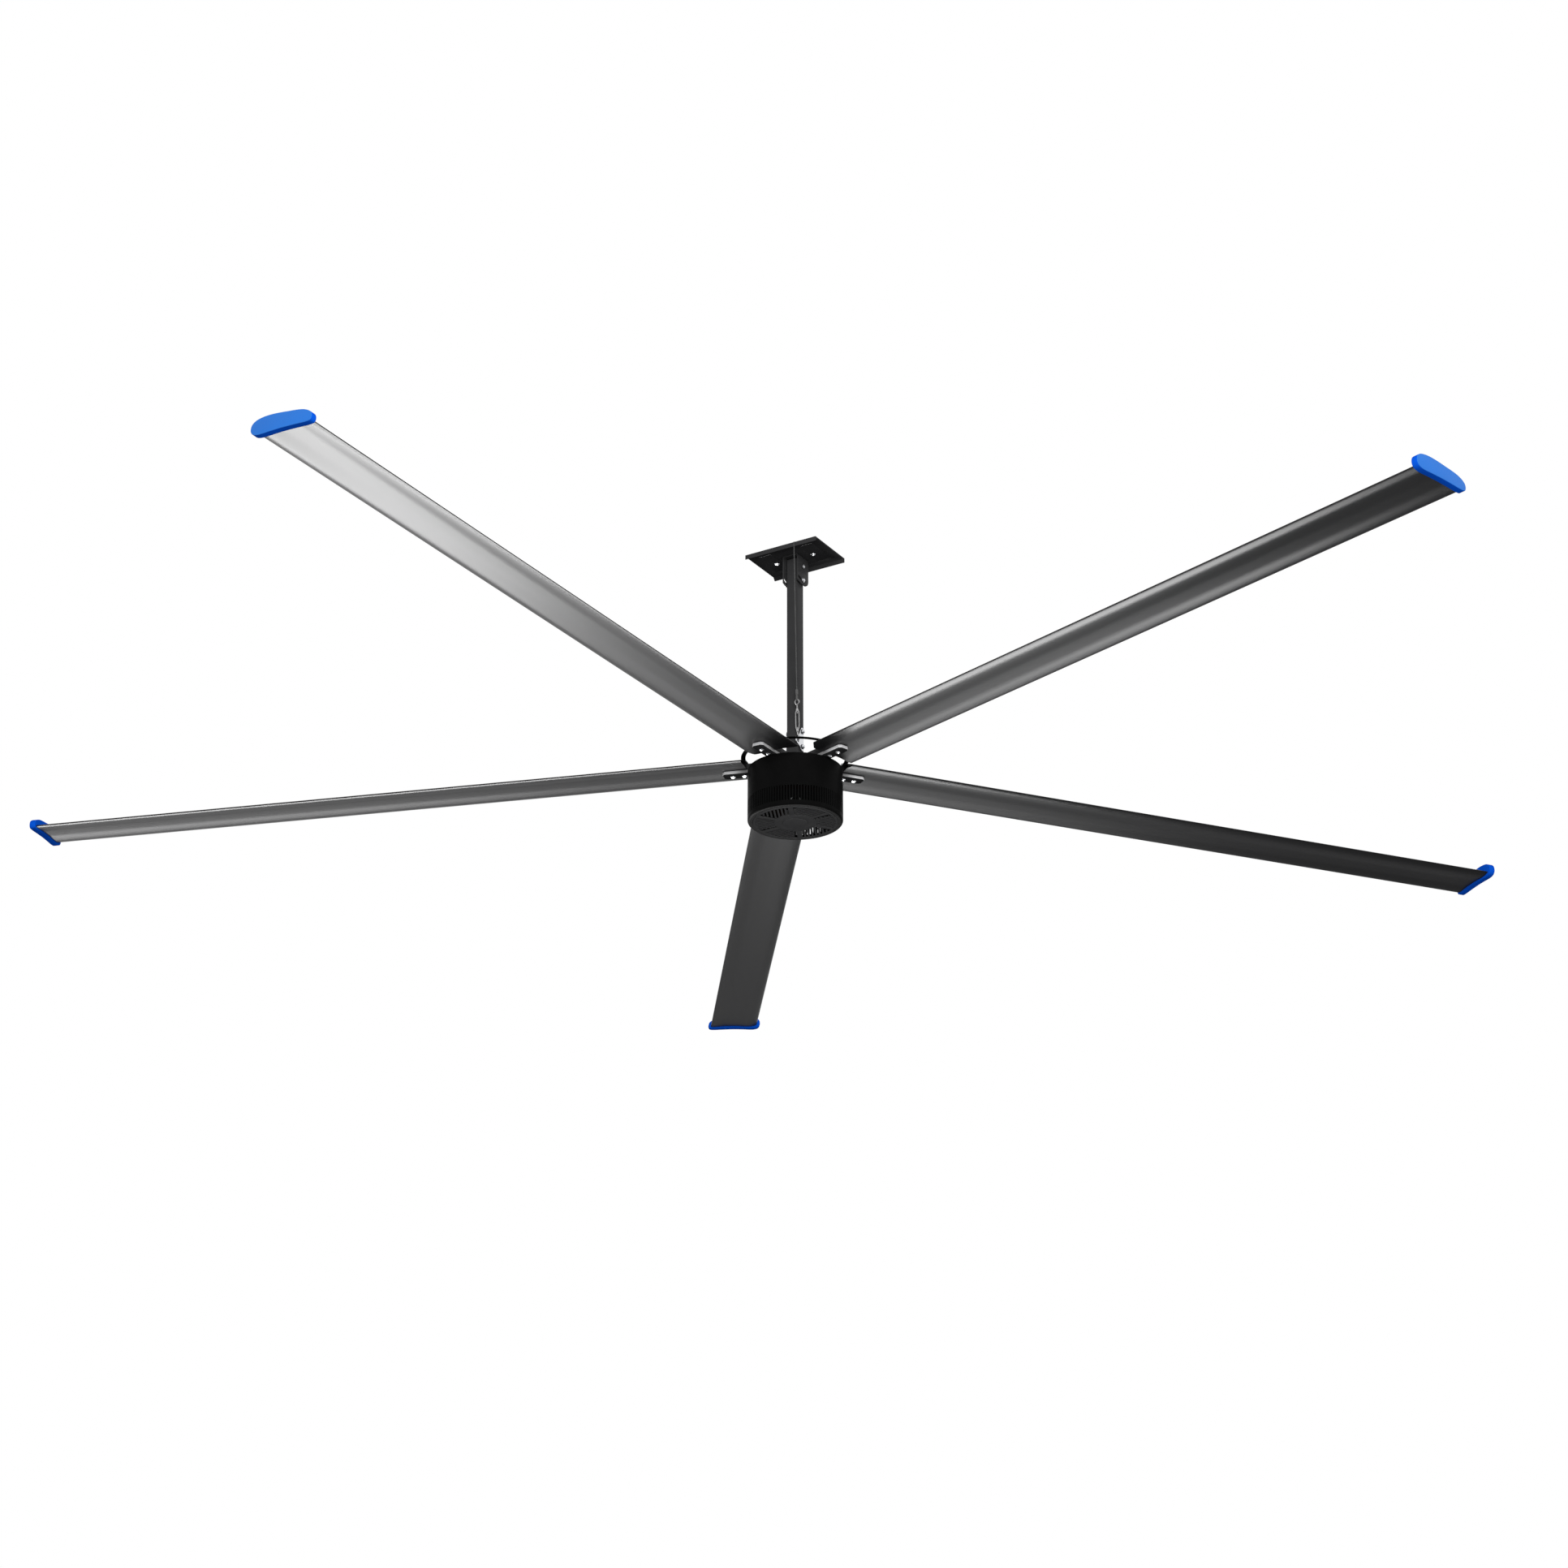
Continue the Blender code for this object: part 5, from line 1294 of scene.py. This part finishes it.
def clamp_slot_outline():
    start, end, half = -pi / 2 - TILT, -pi / 2, HOLE_RADIUS
    centre = (0.0, PIVOT.z)

    def round_end(angle, turn):
        place = (CLAMP_RADIUS * cos(angle), PIVOT.z + CLAMP_RADIUS * sin(angle))
        return arc(place, half, angle + turn, angle + turn + pi, SLOT_END_STEPS)[1:-1]

    outer = arc(centre, CLAMP_RADIUS + half, start, end, EAR_STEPS)
    inner = arc(centre, CLAMP_RADIUS - half, end, start, EAR_STEPS)
    return outer + round_end(end, 0.0) + inner + round_end(start, pi)


def bracket_web():
    """The (x, z) outline of the web with its two bends, over the ears."""
    corner, height = bracket_high.x - EAR_BEND, bracket_high.z - EAR_BEND
    inside = EAR_BEND - EAR_THICKNESS
    right = arc((corner, height), EAR_BEND, 0.0, pi / 2, OUTER_BEND_STEPS)
    left = arc((-corner, height), EAR_BEND, pi / 2, pi, OUTER_BEND_STEPS)
    left_inside = arc((-corner, height), inside, pi, pi / 2, INNER_BEND_STEPS)
    right_inside = arc((corner, height), inside, pi / 2, 0.0, INNER_BEND_STEPS)
    return right + left + left_inside + right_inside


def make_swivel_bracket():
    outer = bracket_high.x
    inner = outer - EAR_THICKNESS
    holes = [hole(clamp_slot_outline()), hole(circle(HOLE_RADIUS, HOLE_SIDES, (0.0, PIVOT.z)))]
    ears = [sheet([ear_outline()] + holes, low, high, SHEET_ROUNDING, ACROSS_X)
            for low, high in ((inner, outer), (-outer, -inner))]
    web = sheet([bracket_web()], -bracket_high.y, -bracket_low.y, matrix=ACROSS_Y)
    bracket = joined(*ears, web)
    finished("bent_swivel_bracket", bracket, CHARCOAL, "ceiling_mount", "charcoal_paint", "swivel_bracket")


make_swivel_bracket()

# %% Ceiling bolts
def make_ceiling_bolts():
    names = ("ceiling_bolt_1", "ceiling_bolt_2")
    middles = [(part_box(name)[0].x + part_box(name)[1].x) / 2 for name in names]
    nuts = fasteners([(Vector((middle, 0.0, -PLATE_THICKNESS)), DOWN) for middle in middles])
    finished("ceiling_nuts", nuts, None, "ceiling_mount", "bright_zinc", *names)


make_ceiling_bolts()

# %% [markdown]
# ## Down tube
# The tube is drawn square steel tube with small round corners. A strap with an eye is bolted to one side
# of its foot for the safety cable, and a flat plate to the other.

# %% Tube, foot plate and lug
tube_low, tube_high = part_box("down_tube")
TUBE_WALL = 0.003
TUBE_CORNER = 0.0030
CORNER_STEPS = 6


def rounded_square(half, radius):
    corner = half - radius
    outline = []
    for start, x, y in ((-pi / 2, 1, -1), (0.0, 1, 1), (pi / 2, -1, 1), (pi, -1, -1)):
        outline += arc((x * corner, y * corner), radius, start, start + pi / 2, CORNER_STEPS)
    return outline


def make_down_tube():
    half = tube_high.x
    outlines = [rounded_square(half, TUBE_CORNER), hole(rounded_square(half - TUBE_WALL, TUBE_CORNER / 2))]
    mesh = sheet(outlines, tube_low.z, tube_high.z, SHEET_ROUNDING)
    finished("square_down_tube", mesh, CHARCOAL, "hanging_tube", "charcoal_paint", "down_tube")


make_down_tube()

# %% Foot plate
FOOT_PLATE_ROUNDING = 0.0008
foot_plate = softened("foot_plate", FOOT_PLATE_ROUNDING)
finished("foot_plate_bar", foot_plate, CHARCOAL, "hanging_tube", "charcoal_paint", "foot_plate")

# %% Safety lug, a strap with an eye
lug_low, lug_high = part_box("safety_lug")
LUG_WIDTH = 0.015
LUG_END_STEPS = 16
LUG_EYE_ASIDE = -0.025
LUG_EYE_RISE = 0.074
LUG_EYE_RADIUS = 0.0105
LUG_EYE_START = radians(80)
LUG_EYE_END = radians(262)
LUG_EYE_STEPS = 20
LUG_HOLE_RADIUS = 0.006
LUG_HOLE_SIDES = 32


def make_safety_lug():
    half = LUG_WIDTH / 2
    centre = (LUG_EYE_ASIDE, HUB.z + LUG_EYE_RISE)
    foot = arc((0.0, lug_low.z + half), half, pi, tau, LUG_END_STEPS)
    top = arc((0.0, lug_high.z - half), half, 0.0, pi, LUG_END_STEPS)
    eye = arc(centre, LUG_EYE_RADIUS, LUG_EYE_START, LUG_EYE_END, LUG_EYE_STEPS)
    outlines = [foot + top + eye, hole(circle(LUG_HOLE_RADIUS, LUG_HOLE_SIDES, centre))]
    mesh = sheet(outlines, lug_low.x, lug_high.x, SHEET_ROUNDING, ACROSS_X)
    finished("zinc_safety_lug", mesh, ZINC, "hanging_tube", "bright_zinc", "safety_lug")


make_safety_lug()

# %% Bolts through the ears and the tube
TUBE_BOLT_RISES = (0.112, 0.062)
SPACER_SIDES = 24
RIGHT = Vector((1.0, 0.0, 0.0))
LEFT = Vector((-1.0, 0.0, 0.0))


def spacer(height):
    """The ring on a tube bolt, between the tube and the lug."""
    near, far = tube_high.x, lug_low.x
    profile = [(WASHER_RADIUS, far), (WASHER_RADIUS, near), (BOLT_RADIUS, near), (BOLT_RADIUS, far)]
    place = Matrix.Translation((0.0, 0.0, height)) @ ACROSS_X
    return painted(turned(profile, SPACER_SIDES, matrix=place), ZINC)


def make_tube_bolts():
    ear_heights = (PIVOT.z, PIVOT.z - CLAMP_RADIUS)
    tube_heights = [HUB.z + rise for rise in TUBE_BOLT_RISES]
    plate_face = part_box("foot_plate")[0].x
    nuts = [(Vector((bracket_high.x, 0.0, height)), RIGHT) for height in ear_heights]
    nuts += [(Vector((lug_high.x, 0.0, height)), RIGHT) for height in tube_heights]
    heads = [(Vector((-bracket_high.x, 0.0, height)), LEFT) for height in ear_heights]
    heads += [(Vector((plate_face, 0.0, height)), LEFT) for height in tube_heights]
    mesh = joined(fasteners(nuts, heads), *[spacer(height) for height in tube_heights])
    finished("tube_bolts", mesh, None, "hanging_tube", "bright_zinc", "pivot_bolt", "clamp_bolt",
             "upper_tube_bolt", "lower_tube_bolt")


make_tube_bolts()

# %% [markdown]
# ## Safety cable
# A wire rope runs from the building down to a small turnbuckle, whose hook sits in the lug's eye. The
# rope's strands follow a helix, so a tree draws one strand with a Spiral curve and turns six copies of it.
# It is drawn taut, from one end to the other, along the line that its joints slide on.

# %% The cable's line
HOOK_SEAT = Vector(joints["hook_swing"]["pos_m"])
CABLE_UP = -Vector(joints["turnbuckle_travel"]["axis"]).normalized()
CABLE_LENGTH = -HOOK_SEAT.z / CABLE_UP.z


def cable_place():
    side = (RIGHT - CABLE_UP * RIGHT.dot(CABLE_UP)).normalized()
    turn = Matrix((side, CABLE_UP.cross(side), CABLE_UP)).transposed().to_4x4()
    return Matrix.Translation(HOOK_SEAT) @ turn


CABLE_PLACE = cable_place()
print("cable:", round(CABLE_LENGTH, 4), "m from the hook's seat to the ceiling")

# %% Tree that lays the strands
ROPE_RADIUS = 0.0015
STRAND_COUNT = 6
STRAND_SIDES = 6
LAY_LENGTH = 0.018
POINTS_PER_TURN = 10


def rope_tree():
    tree, given = new_tree("rope_strands", Int="Strands, Points",
                           Float="Length, Turns, Lay Radius, Strand Radius")
    spiral = add(tree, "GeometryNodeCurveSpiral",
                 {"Resolution": given["Points"], "Rotations": given["Turns"], "Height": given["Length"],
                  "Start Radius": given["Lay Radius"], "End Radius": given["Lay Radius"]})
    ring = add(tree, "GeometryNodeCurvePrimitiveCircle",
               {"Resolution": STRAND_SIDES, "Radius": given["Strand Radius"]})
    strand = add(tree, "GeometryNodeCurveToMesh", {"Curve": spiral, "Profile Curve": ring, "Fill Caps": True})
    return end_tree(tree, ring_of(tree, strand, given["Strands"]), given["Finish"])


# %% Rope, ferrule and loop, in places measured up from the hook's seat
FERRULE_LOW = 0.1427
FERRULE_HIGH = FERRULE_LOW + 0.016
FERRULE_RADIUS = 0.0038
FERRULE_PRESSES = 8
PRESSED_SHARE = 0.9
EYE_CENTRE = 0.1192
EYE_RADIUS = 0.0073
EYE_WIRE_RADIUS = 0.0016
ROPE_INSET = 0.001
LOOP_ROOM = 0.0006
LOOP_TAIL = 0.004
LOOP_ASIDE = 0.0018
LOOP_STEPS = 16
HARDWARE_SIDES = 24


def make_strands():
    length = CABLE_LENGTH - FERRULE_LOW - 2 * ROPE_INSET
    lay = ROPE_RADIUS * 2 / 3
    strands = grown(rope_tree(), {"Length": length, "Turns": length / LAY_LENGTH, "Strands": STRAND_COUNT,
                                  "Lay Radius": lay, "Strand Radius": ROPE_RADIUS - lay,
                                  "Points": POINTS_PER_TURN, "Finish": ROPE})
    strands.transform(CABLE_PLACE @ Matrix.Translation((0.0, 0.0, FERRULE_LOW + ROPE_INSET)))
    return strands


def make_ferrule():
    step = (FERRULE_HIGH - FERRULE_LOW) / FERRULE_PRESSES
    pressed = [(FERRULE_RADIUS * (1.0 if index % 2 else PRESSED_SHARE), FERRULE_HIGH - step * index)
               for index in range(FERRULE_PRESSES + 1)]
    profile = [(0.0, FERRULE_HIGH)] + pressed + [(0.0, FERRULE_LOW)]
    return painted(turned(profile, HARDWARE_SIDES, closed=False, matrix=CABLE_PLACE), ROPE)


def make_rope():
    bend = ROPE_RADIUS + EYE_WIRE_RADIUS + LOOP_ROOM
    through_eye = arc((0.0, EYE_CENTRE + EYE_RADIUS + FIT_GAP), bend, pi, tau, LOOP_STEPS)
    tail = FERRULE_LOW + LOOP_TAIL
    route = [(0.0, y, z) for y, z in [(-LOOP_ASIDE, tail)] + through_eye + [(LOOP_ASIDE, tail)]]
    loop = painted(wire(route, ROPE_RADIUS, matrix=CABLE_PLACE), ROPE)
    rope = joined(make_strands(), loop, make_ferrule())
    finished("twisted_safety_cable", rope, None, "cable", "bright_zinc", "safety_cable")


make_rope()

# %% Turnbuckle: eye, frame and hook
FRAME_LOW = 0.0237
FRAME_HIGH = FRAME_LOW + 0.074
FRAME_WIDTH = 0.0145
FRAME_WIRE_RADIUS = 0.0013
TOP_SHOULDER = 0.006
TOP_BEND = 0.012
FOOT_BEND = 0.018
FOOT_SHOULDER = 0.010
TOP_SHOULDER_SHARE = 0.92
FOOT_SHOULDER_SHARE = 0.88
BOSS_RADIUS = 0.0034
BOSS_LENGTH = 0.009
BOSS_ROUNDING = 0.0008
SHANK_RADIUS = 0.002
SHANK_REACH = 0.006
SHANK_SIDES = 16
THREAD_DEPTH = 0.00025
THREAD_STEP = 0.0007
EYE_STEPS = 40
HOOK_RADIUS = 0.0065
HOOK_START = radians(20)
HOOK_END = -radians(215)
HOOK_STEPS = 28
HOOK_INSET = 0.001


def threaded_shank(low, high):
    """A shank whose profile has a thread's ridges."""
    count = int((high - low) / THREAD_STEP)
    ridges = [(SHANK_RADIUS - THREAD_DEPTH * (index % 2), high - (high - low) * index / count)
              for index in range(count + 1)]
    return turned([(0.0, high)] + ridges + [(0.0, low)], SHANK_SIDES, closed=False, matrix=CABLE_PLACE)


def make_turnbuckle_eye():
    ring = [(x, 0.0, z) for x, z in circle(EYE_RADIUS, EYE_STEPS, (0.0, EYE_CENTRE))]
    eye = wire(ring, EYE_WIRE_RADIUS, cyclic=True, matrix=CABLE_PLACE)
    shank = threaded_shank(FRAME_HIGH - BOSS_LENGTH - SHANK_REACH, EYE_CENTRE - EYE_RADIUS)
    finished("turnbuckle_eye_bolt", joined(eye, shank), WIRE, "cable", "bright_zinc", "turnbuckle_eye")


def make_turnbuckle_frame():
    half = FRAME_WIDTH / 2 - FRAME_WIRE_RADIUS
    near = BOSS_RADIUS - FRAME_WIRE_RADIUS / 2
    top, foot = FRAME_HIGH - BOSS_LENGTH / 2, FRAME_LOW + BOSS_LENGTH / 2
    corners = [(near, top), (half * TOP_SHOULDER_SHARE, top - TOP_SHOULDER), (half, top - TOP_BEND),
               (half, foot + FOOT_BEND), (half * FOOT_SHOULDER_SHARE, foot + FOOT_SHOULDER), (near, foot)]
    sides = [wire([(side * x, 0.0, z) for x, z in corners], FRAME_WIRE_RADIUS, matrix=CABLE_PLACE)
             for side in (-1, 1)]
    bosses = []
    for high in (FRAME_HIGH, FRAME_LOW + BOSS_LENGTH):
        low, bore = high - BOSS_LENGTH, SHANK_RADIUS + FIT_GAP
        profile = rounded_side(BOSS_RADIUS, low, high, BOSS_ROUNDING) + [(bore, low), (bore, high)]
        bosses.append(turned(profile, HARDWARE_SIDES, matrix=CABLE_PLACE))
    frame_mesh = joined(*sides, *bosses)
    finished("turnbuckle_frame_wires", frame_mesh, WIRE, "turnbuckle", "bright_zinc", "turnbuckle_frame")


def make_turnbuckle_hook():
    bowl = arc((0.0, HOOK_RADIUS), HOOK_RADIUS, HOOK_START, HOOK_END, HOOK_STEPS)
    neck = 2 * HOOK_RADIUS + 2 * SHANK_RADIUS
    route = [(x, 0.0, z) for x, z in [(0.0, FRAME_LOW + HOOK_INSET), (0.0, neck)] + bowl]
    shank = threaded_shank(FRAME_LOW, FRAME_LOW + BOSS_LENGTH + SHANK_REACH)
    hook = joined(wire(route, SHANK_RADIUS, matrix=CABLE_PLACE), shank)
    finished("turnbuckle_hook_bolt", hook, WIRE, "hook", "bright_zinc", "turnbuckle_hook")


make_turnbuckle_eye()
make_turnbuckle_frame()
make_turnbuckle_hook()

# %% [markdown]
# ## Inside the motor
# The shaft, bearings, stator, winding and magnets are hardly seen through the slots. Their own solids
# have the right shape, so they stay and only take a finish, darkened well below the metals' own as painted
# shade.

# %% Finishes on the solids that stay
INNER_FINISHES = {"motor_shaft": STEEL, "upper_bearing": STEEL, "lower_bearing": STEEL, "shaft_nut": STEEL,
                  "stator_core": IRON, "stator_winding": COPPER, "magnet_ring": MAGNET}
for node, look in INNER_FINISHES.items():
    painted(frame["nodes"][node].data, look)
print("solids that stay:", sorted(INNER_FINISHES))

# %% [markdown]
# ## View transform
# The visible model keeps inside the box of the solids. The scene shows its colours with the Standard view
# transform.

# %% Set the view transform
scene = bpy.context.scene
scene.view_settings.view_transform = "Standard"
